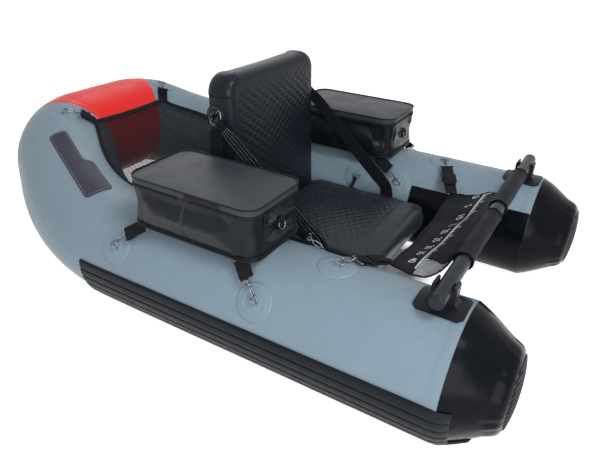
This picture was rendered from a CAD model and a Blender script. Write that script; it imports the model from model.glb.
"""The looks of the float tube: inflated skins, padded seat, bags, webbing, net and apron.

The sizes and the tube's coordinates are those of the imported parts, so every piece lies on its own solid.
Only the apron's cloth is cut back further by the sleeves and sags up to 16 mm more than its solid.
+X is the seated angler's left, the far side in the photo; -Y is forward, and the floor is at z = 0.
"""

import bisect
import math

import bmesh
import bpy
from mathutils import Matrix, Vector, geometry, noise


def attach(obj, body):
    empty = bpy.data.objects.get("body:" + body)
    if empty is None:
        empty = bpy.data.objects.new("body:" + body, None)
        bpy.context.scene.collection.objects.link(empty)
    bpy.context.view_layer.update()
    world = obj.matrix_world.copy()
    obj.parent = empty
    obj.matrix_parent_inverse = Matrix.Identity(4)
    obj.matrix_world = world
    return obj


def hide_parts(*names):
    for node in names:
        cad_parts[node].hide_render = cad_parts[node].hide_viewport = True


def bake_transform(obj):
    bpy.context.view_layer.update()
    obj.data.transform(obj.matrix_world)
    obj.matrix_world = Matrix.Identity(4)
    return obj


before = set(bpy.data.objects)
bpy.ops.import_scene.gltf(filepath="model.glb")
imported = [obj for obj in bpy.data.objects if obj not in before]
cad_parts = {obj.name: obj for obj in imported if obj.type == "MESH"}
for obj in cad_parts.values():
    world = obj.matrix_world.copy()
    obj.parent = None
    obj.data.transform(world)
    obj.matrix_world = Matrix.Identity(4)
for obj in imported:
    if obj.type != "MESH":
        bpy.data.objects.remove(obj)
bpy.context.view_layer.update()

SIDES = {"right": -1, "left": 1}
X_AXIS = Vector((1, 0, 0))
Y_AXIS = Vector((0, 1, 0))
Z_AXIS = Vector((0, 0, 1))

# Clearances, and how deep a wire beds into the bore of a hook
GAP = 0.0003
SEAT_DEPTH = 0.0005
PATCH_LIFT = 0.0008
HEM_LIFT = 0.0016

# Hull tube
OVERALL_LENGTH = 1.882
TUBE_RADIUS = 0.1687
TUBE_SPACING = 0.8252
BOW_HALF_WIDTH = 0.2066
SHOULDER_DEPTH = 0.3181
SHOULDER_RADIUS = 0.600
BOW_CORNER_SPARE = 0.0113
BOW_RISE = 0.1575
RISE_RUN = 0.5687
RING_LEAN_SHARE = 0.5
BOW_PANEL_HALF = 0.186

# Black nose cones and the ribbed pads on their ends
CONE_LENGTH = 0.108
DOME_LENGTH = 0.0235
DOME_RADIUS = 0.106
NOSE_FULLNESS_SHARE = 1.2
NOSE_PAD_RADIUS = 0.090
NOSE_PAD_TIP = 0.026
NOSE_PAD_LIFT = 0.0016
NOSE_PAD_BASE = 0.0035
NOSE_PAD_RIB = 0.0030

# Rubbing strake and keel strip under each tube
STRAKE_TOP_DEG = 7.0
STRAKE_END_DEG = -38.0
STRAKE_RIBS = 5
KEEL_TOP_DEG = -42.0
KEEL_END_DEG = -99.0
KEEL_RIBS = 4
KEEL_LAND_DEG = 3.0
STRIP_BASE = 0.0030
STRIP_CREST = 0.0065
STRAKE_NOSE_OVERLAP = 0.030
KEEL_NOSE_OVERLAP = 0.070

# Dark chafe panel on the inner side of each tube
CHAFE_TOP_DEG = 142.0
CHAFE_END_DEG = 228.0
CHAFE_REAR_Y = -0.408
CHAFE_THICKNESS = 0.0012

# Round welded patches, their webbing tabs and their steel rings
PATCH_RADIUS = 0.050
PATCH_THICKNESS = 0.0024
WIRE_RADIUS = 0.0018
RING_HALF_WIDTH = 0.0130
RING_REACH = 0.0185
TAB_WIDTH = 0.0170
TAB_HALF_LENGTH = 0.0150
TAB_THICKNESS = 0.0018
TAB_SINK = 0.0008
RING_LIFT_DEG = 24.0
OUTER_RING_YS = (-0.3256, 0.1454)
INNER_RING_YS = (-0.3526, 0.1454)
SEAT_RING_Y = -0.2016
OUTER_RING_DEG = 33.0
INNER_RING_DEG = 145.0
APRON_RING_Y = -0.4716
APRON_RING_DEG = 92.0
BOW_RING_REACH = 0.241
BOW_RING_DEG = 94.0

# Snap hooks and the oval rings that join them to webbing
HOOK_EYE_RADIUS = 0.0068
HOOK_EYE_BORE = 0.0040
HOOK_LOOP_RADIUS = 0.0074
HOOK_LOOP_BORE = 0.0043
HOOK_LOOP_START = 0.0190
HOOK_LOOP_END = 0.0340
OVAL_HALF_WIDTH = 0.0235
OVAL_REACH = 0.0085
WEB_THICKNESS = 0.0018
WEB_WIDTH = 0.0370

# Seat
SEAT_FRONT_Y = -0.492
SEAT_SIDE_SPACE = 0.0239
SEAT_THICKNESS = 0.094
SEAT_CROWN = 0.010
SEAT_CORNER = 0.045
SLING_DROP = 0.0058
SLING_THICKNESS = 0.0020
SLING_FLAP_DEG = 9.0
SLING_FRONT_Y = -0.470
SLING_REAR_Y = 0.060
BACK_FRONT_Y = -0.049
BACK_SIDE_SPACE = 0.0079
BACK_THICKNESS = 0.096
BACK_CROWN = 0.008
BACK_CORNER = 0.060
BACK_TOP_Z = 0.700
BACK_FOOT_CLEARANCE = 0.006
BACK_RECLINE_DEG = 2.0
SIDE_ROLL = 0.030
PILLOW_DRAW = 0.005
EMBOSS_HEIGHT = 0.0028
SEAT_HINGE_RAISE = 0.010

# Webbing of the seat
SEAT_WEB_WIDTH = 0.045
SEAT_WEB_NECK = 0.026
STRAP_RING_Z = 0.586
STRAP_RING_DEPTH_SHARE = 0.65
STRAP_FOOT_SPACE = 0.0120
STRAP_FOOT_Y = -0.328
STRAP_FOOT_DROP = 0.0705
STRAP_FOOT_RUN = 0.020
STAY_FOOT_SPACE = 0.0057
STAY_FOOT_Y = 0.030
STAY_DROP = 0.045
STAY_CLEARANCE = 0.0025
SIDE_PATCH_RADIUS = 0.030
SIDE_PATCH_THICKNESS = 0.0030
SIDE_PATCH_DEPTH = 0.016
SIDE_RING_HALF_WIDTH = 0.0250
SIDE_RING_REACH = 0.0240
SIDE_RING_LIFT_DEG = 10.0
TETHER_TOP_DROP = 0.1095
TETHER_DROP = 0.035
TETHER_WIDTH = 0.012

# Mesh panel over the bow well, bound with a hem
MESH_FRONT_SPACE = 0.083
MESH_FRONT_DEG = 122.0
MESH_CORNER_DEG = 131.0
MESH_REAR_DRAW = 0.006
MESH_REAR_SAG = 0.005
MESH_WEB_REACH = 0.068
MESH_AIM_LIFT = 0.0105
MESH_SAG = 0.040
HEM_WIDTH = 0.016
HEM_THICKNESS = 0.0028
BUCKLE_LENGTH = 0.046
BUCKLE_WIDTH = 0.048
BUCKLE_THICKNESS = 0.006
BUCKLE_PLACE_SHARE = 0.45

# Bags
BAG_INNER_REACH = 0.1209
BAG_OUTER_REACH = 0.1114
BAG_FRONT_Y = -0.3046
BAG_LENGTH = 0.4027
BAG_HEIGHT = 0.1495
BAG_CORNER = 0.042
BAG_WALL = 0.0030
BAG_BULGE = 0.0050
BAG_WEB_INSET = 0.0060
BAG_FOOT_THICKNESS = 0.0100
BAG_FOOT_LIP = 0.0030
LID_SKIRT = 0.0180
LID_CROWN = 0.0060
LID_PIPING_RADIUS = 0.0022
ZIP_WIDTH = 0.0080
ZIP_THICKNESS = 0.0016
PULL_LENGTH = 0.030
PULL_WIDTH = 0.0070
PULL_THICKNESS = 0.0012
PULL_SPACING = 0.012
SLIDER_SIZE = 0.0070
SLIDER_DEPTH = 0.0045
BAG_RING_DROP = 0.0760

# Cross bar and apron
BAR_SETBACK = 0.0632
BAR_LIFT = 0.0401
BAR_RADIUS = 0.0190
BAR_HALF_LENGTH = 0.472
BAR_CAP_LENGTH = 0.010
APRON_CENTRE_X = 0.016
APRON_OVERLAP = 0.0561
APRON_REAR_CENTRE_X = -0.026
APRON_REAR_OVERLAP = 0.0080
APRON_DEPTH = 0.1822
APRON_REAR_DROP = 0.0355
APRON_THICKNESS = 0.0024
APRON_SAG = 0.036
APRON_SAG_SHARE = 0.75
APRON_FOLD = 0.0036
APRON_RIGHT_SWELL = 0.016
APRON_LEFT_CUT = 0.120
APRON_SLEEVE_CUT = 0.176
APRON_CUT_POWER = 1.5
APRON_DROOP_POWER = 5
SLEEVE_WALL = 0.0026
SLEEVE_GAP = 0.060
APRON_WEB_SHARE = 0.96

# Valves and the bare badge patch
VALVE_Y = 0.300
VALVE_DEG = 158.0
VALVE_RADIUS = 0.024
VALVE_FLANGE = 0.0035
VALVE_CAP_RADIUS = 0.017
VALVE_CAP_HEIGHT = 0.011
BADGE_LENGTH = 0.338
BADGE_WIDTH = 0.058
BADGE_STEP_WIDTH = 0.026
BADGE_STEP_SHARE = 0.50
BADGE_THICKNESS = 0.0012
BADGE_LIFT = 0.0018
BADGE_OVERHANG = 0.0684
BADGE_SETBACK = 0.1212
BADGE_TURN_DEG = 22.5

# Values worked out from the ones above
STRIP_HEIGHT = PATCH_LIFT + STRIP_CREST
TUBE_AXIS_Z = (TUBE_RADIUS + STRIP_HEIGHT) * math.cos(math.radians(KEEL_LAND_DEG))
HALF_SPACING = TUBE_SPACING / 2
HALF_GAP = HALF_SPACING - TUBE_RADIUS
BOW_Y = OVERALL_LENGTH / 2 - TUBE_RADIUS
SHOULDER_Y = BOW_Y - SHOULDER_DEPTH
RISE_START_Y = BOW_Y - RISE_RUN
BOW_CORNER_RADIUS = TUBE_RADIUS + BOW_CORNER_SPARE
NOSE_PAD_PROUD = NOSE_PAD_LIFT + NOSE_PAD_BASE + NOSE_PAD_RIB
SEAM_Y = -OVERALL_LENGTH / 2 + NOSE_PAD_PROUD + DOME_LENGTH + CONE_LENGTH
TURN_A = math.atan2(HALF_SPACING - BOW_HALF_WIDTH, BOW_Y - SHOULDER_Y)
TURN_B = math.pi / 2 - TURN_A
TANGENT_A = SHOULDER_RADIUS * math.tan(TURN_A / 2)
TANGENT_B = BOW_CORNER_RADIUS * math.tan(TURN_B / 2)
STRAIGHT_RUN = SHOULDER_Y - TANGENT_A - SEAM_Y
DIAGONAL_RUN = math.hypot(HALF_SPACING - BOW_HALF_WIDTH, BOW_Y - SHOULDER_Y) - TANGENT_A - TANGENT_B
CROSS_RUN = BOW_HALF_WIDTH - TANGENT_B
RUNS = (
    (STRAIGHT_RUN, 0.0),
    (SHOULDER_RADIUS * TURN_A, SHOULDER_RADIUS),
    (DIAGONAL_RUN, 0.0),
    (BOW_CORNER_RADIUS * TURN_B, BOW_CORNER_RADIUS),
    (CROSS_RUN, 0.0),
)
HALF_LENGTH = sum(length for length, radius in RUNS)
PANEL_SEAM = HALF_LENGTH - BOW_PANEL_HALF
MESH_CORNER_RUN = HALF_LENGTH - BOW_RING_REACH
TUBE_TOP_Z = TUBE_AXIS_Z + TUBE_RADIUS
SLING_Z = TUBE_AXIS_Z - SLING_DROP
SEAT_HALF_WIDTH = HALF_GAP - SEAT_SIDE_SPACE
BACK_HALF_WIDTH = HALF_GAP - BACK_SIDE_SPACE
SEAT_BASE_Z = SLING_Z + SLING_THICKNESS / 2 + GAP
SEAT_HINGE = Vector((0, BACK_FRONT_Y, SEAT_BASE_Z + SEAT_THICKNESS + EMBOSS_HEIGHT + SEAT_HINGE_RAISE))
STRAP_FOOT_X = HALF_GAP - STRAP_FOOT_SPACE
STRAP_FOOT_Z = TUBE_TOP_Z - STRAP_FOOT_DROP
STAY_FOOT_X = HALF_GAP - STAY_FOOT_SPACE
TETHER_TOP_Z = TUBE_TOP_Z - TETHER_TOP_DROP
MESH_FRONT_Y = BACK_FRONT_Y + BACK_THICKNESS + MESH_FRONT_SPACE
BAG_INNER_X = HALF_SPACING - BAG_INNER_REACH
BAG_OUTER_X = HALF_SPACING + BAG_OUTER_REACH
BAG_TOP_Z = TUBE_TOP_Z + BAG_HEIGHT
BAG_RING_Z = BAG_TOP_Z - BAG_RING_DROP
BAG_FOOT_Z = TUBE_TOP_Z + GAP
BAG_FLOOR_Z = BAG_FOOT_Z + BAG_FOOT_THICKNESS + GAP
LID_EDGE_Z = BAG_TOP_Z - LID_CROWN
BAG_RIM_Z = LID_EDGE_Z - LID_SKIRT
BAG_LIP_Z = BAG_RIM_Z - GAP
BAR_Y = SEAM_Y + BAR_SETBACK
BAR_Z = TUBE_TOP_Z + BAR_LIFT
APRON_HALF_WIDTH = HALF_GAP + APRON_OVERLAP
APRON_REAR_HALF_WIDTH = HALF_GAP + APRON_REAR_OVERLAP
APRON_REAR_Y = BAR_Y + APRON_DEPTH
APRON_REAR_Z = TUBE_TOP_Z - APRON_REAR_DROP
BADGE_CORNER_X = -HALF_SPACING - BADGE_OVERHANG
BADGE_CORNER_Y = SHOULDER_Y - BADGE_SETBACK


# The boat's own coordinates and places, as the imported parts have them, but for the apron's cut and sag

def turns_round(count):
    return [2 * math.pi * k / count for k in range(count)]


def disc_points(centre, u, v, radius, sides):
    return [centre + (u * math.cos(turn) + v * math.sin(turn)) * radius for turn in turns_round(sides)]


def arc_xy(cx, cy, radius, start_deg, end_deg, steps):
    """Points along an arc, both ends included."""
    found = []
    for k in range(steps + 1):
        turn = math.radians(start_deg + (end_deg - start_deg) * k / steps)
        found.append((cx + radius * math.cos(turn), cy + radius * math.sin(turn)))
    return found


def frame_matrix(origin, x_dir, y_dir, z_dir):
    found = Matrix((x_dir, y_dir, z_dir)).transposed().to_4x4()
    found.translation = origin
    return found


def plan_at(s):
    """Plan position and heading of the tube's centre line on the -X side."""
    x, y, turn = -HALF_SPACING, SEAM_Y, 0.0
    for length, radius in RUNS:
        step = min(s, length)
        if radius:
            ahead = turn + step / radius
            x += radius * (math.cos(turn) - math.cos(ahead))
            y += radius * (math.sin(ahead) - math.sin(turn))
            turn = ahead
        else:
            x += step * math.sin(turn)
            y += step * math.cos(turn)
        s -= step
        if s <= 0:
            break
    return x, y, turn


def tube_slope(y, turn):
    """Share of its height to which the tube has climbed, and how steeply it climbs, at a plan position."""
    climb = max(0.0, (y - RISE_START_Y) / (BOW_Y - RISE_START_Y))
    return climb, 2 * BOW_RISE * climb / (BOW_Y - RISE_START_Y) * math.cos(turn)


def tube_frame(s):
    """Centre, tangent, outboard and upward directions of the tube on the -X side.

    The rings lean back with only a share of the climb, so that they don't cross inside the bow corners.
    """
    x, y, turn = plan_at(s)
    climb, slope = tube_slope(y, turn)
    tangent = Vector((math.sin(turn), math.cos(turn), slope * RING_LEAN_SHARE)).normalized()
    outboard = Vector((-math.cos(turn), math.sin(turn), 0))
    upward = tangent.cross(outboard)
    return Vector((x, y, TUBE_AXIS_Z + BOW_RISE * climb ** 2)), tangent, outboard, upward


def skin_radius(s):
    """Radius of the hull's skin, which narrows along the nose cone."""
    if s >= 0:
        return TUBE_RADIUS
    along = min(1.0, -s / CONE_LENGTH)
    return TUBE_RADIUS + (DOME_RADIUS - TUBE_RADIUS) * along ** NOSE_FULLNESS_SHARE


def tube_point(side, s, degrees, height=0.0):
    """A point on or above the hull's skin: 0 degrees is outboard, 90 on top and 180 inboard."""
    centre, tangent, outboard, upward = tube_frame(s)
    turn = math.radians(degrees)
    out = outboard * math.cos(turn) + upward * math.sin(turn)
    point = centre + out * (skin_radius(s) + height)
    return Vector((-side * point.x, point.y, point.z))


def tube_axes(side, s, degrees):
    """Directions at a point of the skin: along the tube, round it upwards from outboard, and outwards."""
    outboard, upward = tube_frame(s)[2:]
    y, heading = plan_at(s)[1:]
    slope = tube_slope(y, heading)[1]
    along = Vector((math.sin(heading), math.cos(heading), slope)).normalized()
    turn = math.radians(degrees)
    around = upward * math.cos(turn) - outboard * math.sin(turn)
    outward = around.cross(along).normalized()
    flip = Matrix.Scale(-1, 3, X_AXIS) if side > 0 else Matrix.Identity(3)
    return flip @ along, flip @ around, flip @ outward


def station(y):
    """Distance along the tube of a place on its straight run."""
    return y - SEAM_Y


def surface_at(x, y):
    """Distance and angle of the skin point above a plan position on the -X side."""
    s = station(y)
    degrees = 90.0
    for attempt in range(30):
        point = tube_point(-1, s, degrees)
        tangent, outboard = tube_frame(s)[1:3]
        miss = Vector((x - point.x, y - point.y, 0))
        s += miss.dot(Vector((tangent.x, tangent.y, 0)).normalized())
        sideways = miss.dot(outboard)
        degrees -= math.degrees(sideways / TUBE_RADIUS)
        degrees = min(170.0, max(10.0, degrees))
    return s, degrees


def spread(start, end, steps):
    return [start + (end - start) * k / steps for k in range(steps + 1)]


def nose_surface(side, across, up, height):
    """A point above the nose's domed end, from its offsets beside and above the tube's axis."""
    reach = min(0.98, math.hypot(across, up) / DOME_RADIUS)
    depth = CONE_LENGTH + DOME_LENGTH * math.sqrt(1 - reach ** 2) + height
    return Vector((side * HALF_SPACING + across, SEAM_Y - depth, TUBE_AXIS_Z + up))


def rib_heights(start_deg, end_deg, ribs):
    """Angles and heights across a ribbed strip: narrow valleys between flat-topped ribs."""
    pitch = (end_deg - start_deg) / ribs
    valley_share = 0.14
    found = []
    for k in range(ribs):
        edge = start_deg + pitch * k
        found.append((edge, STRIP_BASE))
        found.append((edge + pitch * valley_share, STRIP_CREST))
        found.append((edge + pitch * (1 - valley_share), STRIP_CREST))
    found.append((end_deg, STRIP_BASE))
    return found


def keel_heights():
    """The keel strip's ribs, with a level land under the tube that the boat stands on."""
    found = rib_heights(KEEL_TOP_DEG, -90 + 2 * KEEL_LAND_DEG, KEEL_RIBS - 1)
    found.append((-90 + KEEL_LAND_DEG, STRIP_CREST))
    found.append((-90 - KEEL_LAND_DEG, STRIP_CREST))
    found.append((KEEL_END_DEG, STRIP_BASE))
    return found


class RingPlace:
    """A steel ring on the hull: where it sits on the tube, and which way it is pulled."""

    def __init__(self, use, s, degrees, pull):
        self.use = use
        self.s = s
        self.degrees = degrees
        self.pull = pull


def ring_places():
    found = []
    for name, y in zip(("front", "rear"), OUTER_RING_YS):
        found.append(RingPlace(name + "_outer_bag", station(y), OUTER_RING_DEG, (0.0, 1.0)))
    for name, y in zip(("front", "rear"), INNER_RING_YS):
        found.append(RingPlace(name + "_inner_bag", station(y), INNER_RING_DEG, (0.0, -1.0)))
    found.append(RingPlace("seat", station(SEAT_RING_Y), INNER_RING_DEG, (0.0, 1.0)))
    found.append(RingPlace("apron", station(APRON_RING_Y), APRON_RING_DEG, (-0.42, 0.91)))
    found.append(RingPlace("mesh", MESH_CORNER_RUN, BOW_RING_DEG, (0.0, 1.0)))
    return found


def ring_frame(side, place):
    """Origin on top of the patch, with the pull, bar and outward directions."""
    along, around, outward = tube_axes(side, place.s, place.degrees)
    pulled = (along * place.pull[0] + around * place.pull[1]).normalized()
    bar = outward.cross(pulled).normalized()
    origin = tube_point(side, place.s, place.degrees, PATCH_THICKNESS)
    return origin, pulled, bar, outward


def lifted(pulled, outward, degrees):
    turn = math.radians(degrees)
    return (pulled * math.cos(turn) + outward * math.sin(turn)).normalized()


def ring_bar(origin, outward):
    """Centre of a ring's straight bar, which lies under its tab."""
    return origin + outward * (GAP + WIRE_RADIUS)


def chain_frame(side, place, aim):
    """The ring's wire, the pull towards a point to aim at, and the level and outward directions."""
    origin, pulled, bar, outward = ring_frame(side, place)
    reach_dir = lifted(pulled, outward, RING_LIFT_DEG)
    wire = ring_bar(origin, outward) + reach_dir * RING_REACH
    towards = (aim - wire).normalized()
    level = (bar - towards * bar.dot(towards)).normalized()
    face = level.cross(towards).normalized()
    if face.dot(outward) < 0:
        face = -face
    return wire, towards, level, face


def square_to_outline(u, v, half_x, half_y, radius, draw):
    """Move a point on the edge of the unit square to a rounded outline with drawn-in sides."""
    x, y = u * half_x, v * half_y
    x -= math.copysign(draw * (1 - v * v), x) if abs(u) == 1 else 0.0
    y -= math.copysign(draw * (1 - u * u), y) if abs(v) == 1 else 0.0
    cx, cy = math.copysign(half_x - radius, x), math.copysign(half_y - radius, y)
    dx, dy = x - cx, y - cy
    if dx * cx > 0 and dy * cy > 0:
        reach = radius / math.hypot(dx, dy)
        return cx + dx * reach, cy + dy * reach
    return x, y


def edge_walk(columns, rows):
    """Grid indices round the edge of a grid, anticlockwise."""
    walk = [(c, 0) for c in range(columns)]
    walk += [(columns, r) for r in range(rows)]
    walk += [(c, rows) for c in range(columns, 0, -1)]
    walk += [(0, r) for r in range(rows, 0, -1)]
    return walk


def back_matrix():
    """Stands the back panel up: its face towards -Y, leaning back about the hinge."""
    foot = SEAT_BASE_Z + BACK_FOOT_CLEARANCE
    half_z = (BACK_TOP_Z - foot) / 2
    stand = Matrix.Rotation(math.radians(90), 4, "X")
    stand.translation = Vector((0, BACK_FRONT_Y + BACK_THICKNESS, (BACK_TOP_Z + foot) / 2))
    lean = Matrix.Translation(SEAT_HINGE) @ Matrix.Rotation(-math.radians(BACK_RECLINE_DEG), 4, "X")
    return lean @ Matrix.Translation(-SEAT_HINGE) @ stand, half_z


def back_point(x, y, z):
    """A point given on the upright seat back, moved to where the lean takes it."""
    lean = Matrix.Rotation(-math.radians(BACK_RECLINE_DEG), 3, "X")
    return SEAT_HINGE + lean @ (Vector((x, y, z)) - SEAT_HINGE)


def side_ring_frame(side):
    """Origin on the side patch of the seat back, with the pull, bar and outward directions."""
    outward = X_AXIS * side
    face_x = side * (BACK_HALF_WIDTH + SIDE_PATCH_THICKNESS)
    origin = back_point(face_x, BACK_FRONT_Y + BACK_THICKNESS * STRAP_RING_DEPTH_SHARE, STRAP_RING_Z)
    foot = Vector((origin.x, STRAP_FOOT_Y, STRAP_FOOT_Z))
    pulled = (foot - origin).normalized()
    return origin, pulled, outward.cross(pulled).normalized(), outward


def side_wire(side):
    """The wire of the seat back's ring that its webbing is folded round."""
    origin, pulled, bar, outward = side_ring_frame(side)
    return ring_bar(origin, outward) + lifted(pulled, outward, SIDE_RING_LIFT_DEG) * SIDE_RING_REACH


def mesh_side(side, share):
    """Place on the tube of the panel's side edge, from its front (0) to its rear corner (1)."""
    start, end = station(MESH_FRONT_Y), MESH_CORNER_RUN
    return side, start + (end - start) * share, MESH_FRONT_DEG + (MESH_CORNER_DEG - MESH_FRONT_DEG) * share


def hem_stop(u, edge, inner):
    """A point of the hem's free stretch at the front or rear, with its directions."""
    edge_step = 0.05
    point = mesh_point(u, edge)
    wide = (mesh_point(u, inner) - point).normalized()
    across = mesh_point(u + edge_step, edge) - mesh_point(u - edge_step, edge)
    face = across.cross(wide).normalized()
    return point, (wide, face if face.z > 0 else -face)


def mesh_point(u, v, inset=0.0):
    """A point of the sagging panel: u runs across it from -1 to 1 and v from front to rear.

    Its rear edge is pulled straight between its corners, which stand on the bow's inner shoulders.
    """
    lift = HEM_LIFT + HEM_THICKNESS / 2
    right, left = tube_point(*mesh_side(-1, v), lift), tube_point(*mesh_side(1, v), lift)
    half = (left - right).length / 2 - inset
    rear = (Y_AXIS * MESH_REAR_DRAW + Z_AXIS * MESH_REAR_SAG) * (1 - u ** 2) * v ** 3
    sag = Z_AXIS * MESH_SAG * (1 - u ** 2) * (1 - v ** 2)
    return (right + left) / 2 + X_AXIS * half * u - rear - sag


def mesh_web_path(side, place):
    """Points of the webbing from the panel's rear corner up over the bow's inner shoulder."""
    start = MESH_CORNER_DEG
    end = place.degrees + math.degrees(MESH_WEB_REACH / TUBE_RADIUS)
    lift = HEM_LIFT + HEM_THICKNESS
    return [tube_point(side, place.s, degrees, lift) for degrees in spread(start, end, 3)]


def mesh_aim(side, place):
    """The point above the shoulder that the hook of a mesh strap is pulled towards."""
    degrees = place.degrees + math.degrees(MESH_WEB_REACH / TUBE_RADIUS)
    return tube_point(side, place.s, degrees, MESH_AIM_LIFT)


def bag_centre(side):
    return Vector((side * (BAG_INNER_X + BAG_OUTER_X) / 2, BAG_FRONT_Y + BAG_LENGTH / 2, 0))


def pull_pivots(side):
    """Where the pullers hang: under the noses of the two sliders parked at the outer front corner."""
    z = BAG_RIM_Z - GAP - ZIP_WIDTH
    y = BAG_FRONT_Y - GAP - ZIP_THICKNESS / 2 - SLIDER_DEPTH / 2
    outer = side * (BAG_OUTER_X - BAG_CORNER - PULL_WIDTH)
    return [Vector((outer - side * PULL_SPACING * k, y, z)) for k in range(2)]


def bag_corner(side, place):
    """Where a clip's webbing is sewn to the bag's foot."""
    outer = "outer" in place.use
    x = BAG_OUTER_X - BAG_WEB_INSET if outer else BAG_INNER_X + BAG_WEB_INSET
    y = BAG_FRONT_Y + BAG_CORNER
    if "rear" in place.use:
        y += BAG_LENGTH - 2 * BAG_CORNER
    return Vector((side * x, y, BAG_FOOT_Z + BAG_FOOT_LIP))


def bag_ring_frame(side):
    centre = bag_centre(side)
    return Vector((centre.x, BAG_FRONT_Y - BAG_BULGE, BAG_RING_Z)), -Z_AXIS, X_AXIS, -Y_AXIS


def bar_origin():
    return Vector((0, BAR_Y, BAR_Z))


def apron_front():
    """Distance from the bar's axis at which the cloth meets its sleeves."""
    return BAR_RADIUS + 2 * GAP + SLEEVE_WALL


def apron_cut(v):
    """How far the apron's left end is cut back at a share of the way from the sleeves to its rear edge."""
    bow = APRON_LEFT_CUT * math.sin(math.pi * math.sqrt(v))
    return max(bow, APRON_SLEEVE_CUT * (1 - v) ** APRON_CUT_POWER)


def apron_point(u, v):
    """A point of the apron: u across from -1 to 1, v from the sleeves (0) to the rear edge (1).

    Its right end droops and swells out and the left end is cut back to a curve.
    """
    half = APRON_HALF_WIDTH + (APRON_REAR_HALF_WIDTH - APRON_HALF_WIDTH) * v
    centre = APRON_CENTRE_X + (APRON_REAR_CENTRE_X - APRON_CENTRE_X) * v
    if u > 0:
        across = u * (half - apron_cut(v))
    else:
        across = u * half - APRON_RIGHT_SWELL * math.sin(math.pi * v) * u ** 2
    start_y = BAR_Y + apron_front() + GAP
    y = start_y + (APRON_REAR_Y - start_y) * v
    droop_share = v + (1 - (1 - v) ** APRON_DROOP_POWER - v) * min(0.0, u) ** 4
    z = BAR_Z + (APRON_REAR_Z - BAR_Z) * droop_share
    sag = APRON_SAG * (1 - u * u) * math.sin(math.pi * v * APRON_SAG_SHARE)
    folds = APRON_FOLD * math.cos(3 * math.pi * u) * (1 - u ** 4) * v
    return Vector((centre + across, y, z - sag + folds))


# Materials

def math_node(tree, operation, *values):
    """A Math node fed with numbers or with other nodes' outputs."""
    made = tree.nodes.new("ShaderNodeMath")
    made.operation = operation
    for socket, value in zip(made.inputs, values):
        if isinstance(value, (int, float)):
            socket.default_value = value
        else:
            tree.links.new(value, socket)
    return made.outputs[0]


def range_node(tree, value, low, high, start, end):
    """A Map Range node: what goes from start to end comes out from low to high."""
    made = tree.nodes.new("ShaderNodeMapRange")
    for name, number in (("From Min", start), ("From Max", end), ("To Min", low), ("To Max", high)):
        made.inputs[name].default_value = number
    tree.links.new(value, made.inputs["Value"])
    return made.outputs["Result"]


class Finish:
    """A procedural material, built up from a Principled shader in steps."""

    def __init__(self, name, colour, roughness, metallic=0.0, specular=0.5):
        self.made = bpy.data.materials.new(name)
        self.made.use_nodes = True
        self.tree = self.made.node_tree
        self.shader = self.tree.nodes["Principled BSDF"]
        self.colour = colour
        for socket, value in (
            ("Base Color", (*colour, 1.0)), ("Roughness", roughness), ("Metallic", metallic),
            ("Specular IOR Level", specular),
        ):
            self.shader.inputs[socket].default_value = value
        coords = self.tree.nodes.new("ShaderNodeTexCoord")
        self.place = coords.outputs["Object"]
        self.flat = coords.outputs["UV"]
        self.normal = None

    def math(self, operation, *values):
        return math_node(self.tree, operation, *values)

    def noise(self, scale, detail=3.0, stretch=None):
        """Soft noise from 0 to 1, about as coarse as 1 / scale metres."""
        place = self.place
        if stretch:
            mapping = self.tree.nodes.new("ShaderNodeMapping")
            mapping.inputs["Scale"].default_value = stretch
            self.tree.links.new(place, mapping.inputs["Vector"])
            place = mapping.outputs[0]
        made = self.tree.nodes.new("ShaderNodeTexNoise")
        made.inputs["Scale"].default_value = scale
        made.inputs["Detail"].default_value = detail
        self.tree.links.new(place, made.inputs["Vector"])
        return made.outputs["Fac"]

    def wave(self, axis, length, where=None):
        """A sine from -1 to 1 along an axis of the flat or the object coordinates."""
        split = self.tree.nodes.new("ShaderNodeSeparateXYZ")
        self.tree.links.new(where or self.flat, split.inputs[0])
        return self.math("SINE", self.math("MULTIPLY", split.outputs[axis], 2 * math.pi / length))

    def tint(self, value, other, start, end):
        """Mix the colour towards another one by a value."""
        mix = self.tree.nodes.new("ShaderNodeMix")
        mix.data_type = "RGBA"
        self.tree.links.new(range_node(self.tree, value, 0.0, 1.0, start, end), mix.inputs["Factor"])
        linked = self.shader.inputs["Base Color"].links
        if linked:
            self.tree.links.new(linked[0].from_socket, mix.inputs[6])
        else:
            mix.inputs[6].default_value = (*self.colour, 1.0)
        mix.inputs[7].default_value = (*other, 1.0)
        self.tree.links.new(mix.outputs[2], self.shader.inputs["Base Color"])

    def rough(self, value, low, high):
        roughness = range_node(self.tree, value, low, high, 0.3, 0.7)
        self.tree.links.new(roughness, self.shader.inputs["Roughness"])

    def bump(self, value, depth, strength=1.0):
        made = self.tree.nodes.new("ShaderNodeBump")
        made.inputs["Distance"].default_value = depth
        made.inputs["Strength"].default_value = strength
        self.tree.links.new(value, made.inputs["Height"])
        if self.normal:
            self.tree.links.new(self.normal, made.inputs["Normal"])
        self.normal = made.outputs["Normal"]
        self.tree.links.new(self.normal, self.shader.inputs["Normal"])


def shade(colour, factor):
    return tuple(min(1.0, channel * factor) for channel in colour)


def coated_fabric(name, colour, roughness, crease=0.0005, specular=0.3):
    """Welded boat fabric: faint weave under the coating, scuffs, and soft creases of an inflated skin."""
    made = Finish(name, colour, roughness, specular=specular)
    made.tint(made.noise(7, 5), shade(colour, 1.04), 0.35, 0.75)
    made.tint(made.noise(60, 6), shade(colour, 0.96), 0.45, 0.80)
    made.rough(made.noise(26, 5), roughness - 0.05, roughness + 0.09)
    made.bump(made.noise(14, 3), crease)
    made.bump(made.noise(900, 2), 0.00012, 0.5)
    return made.made


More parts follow.
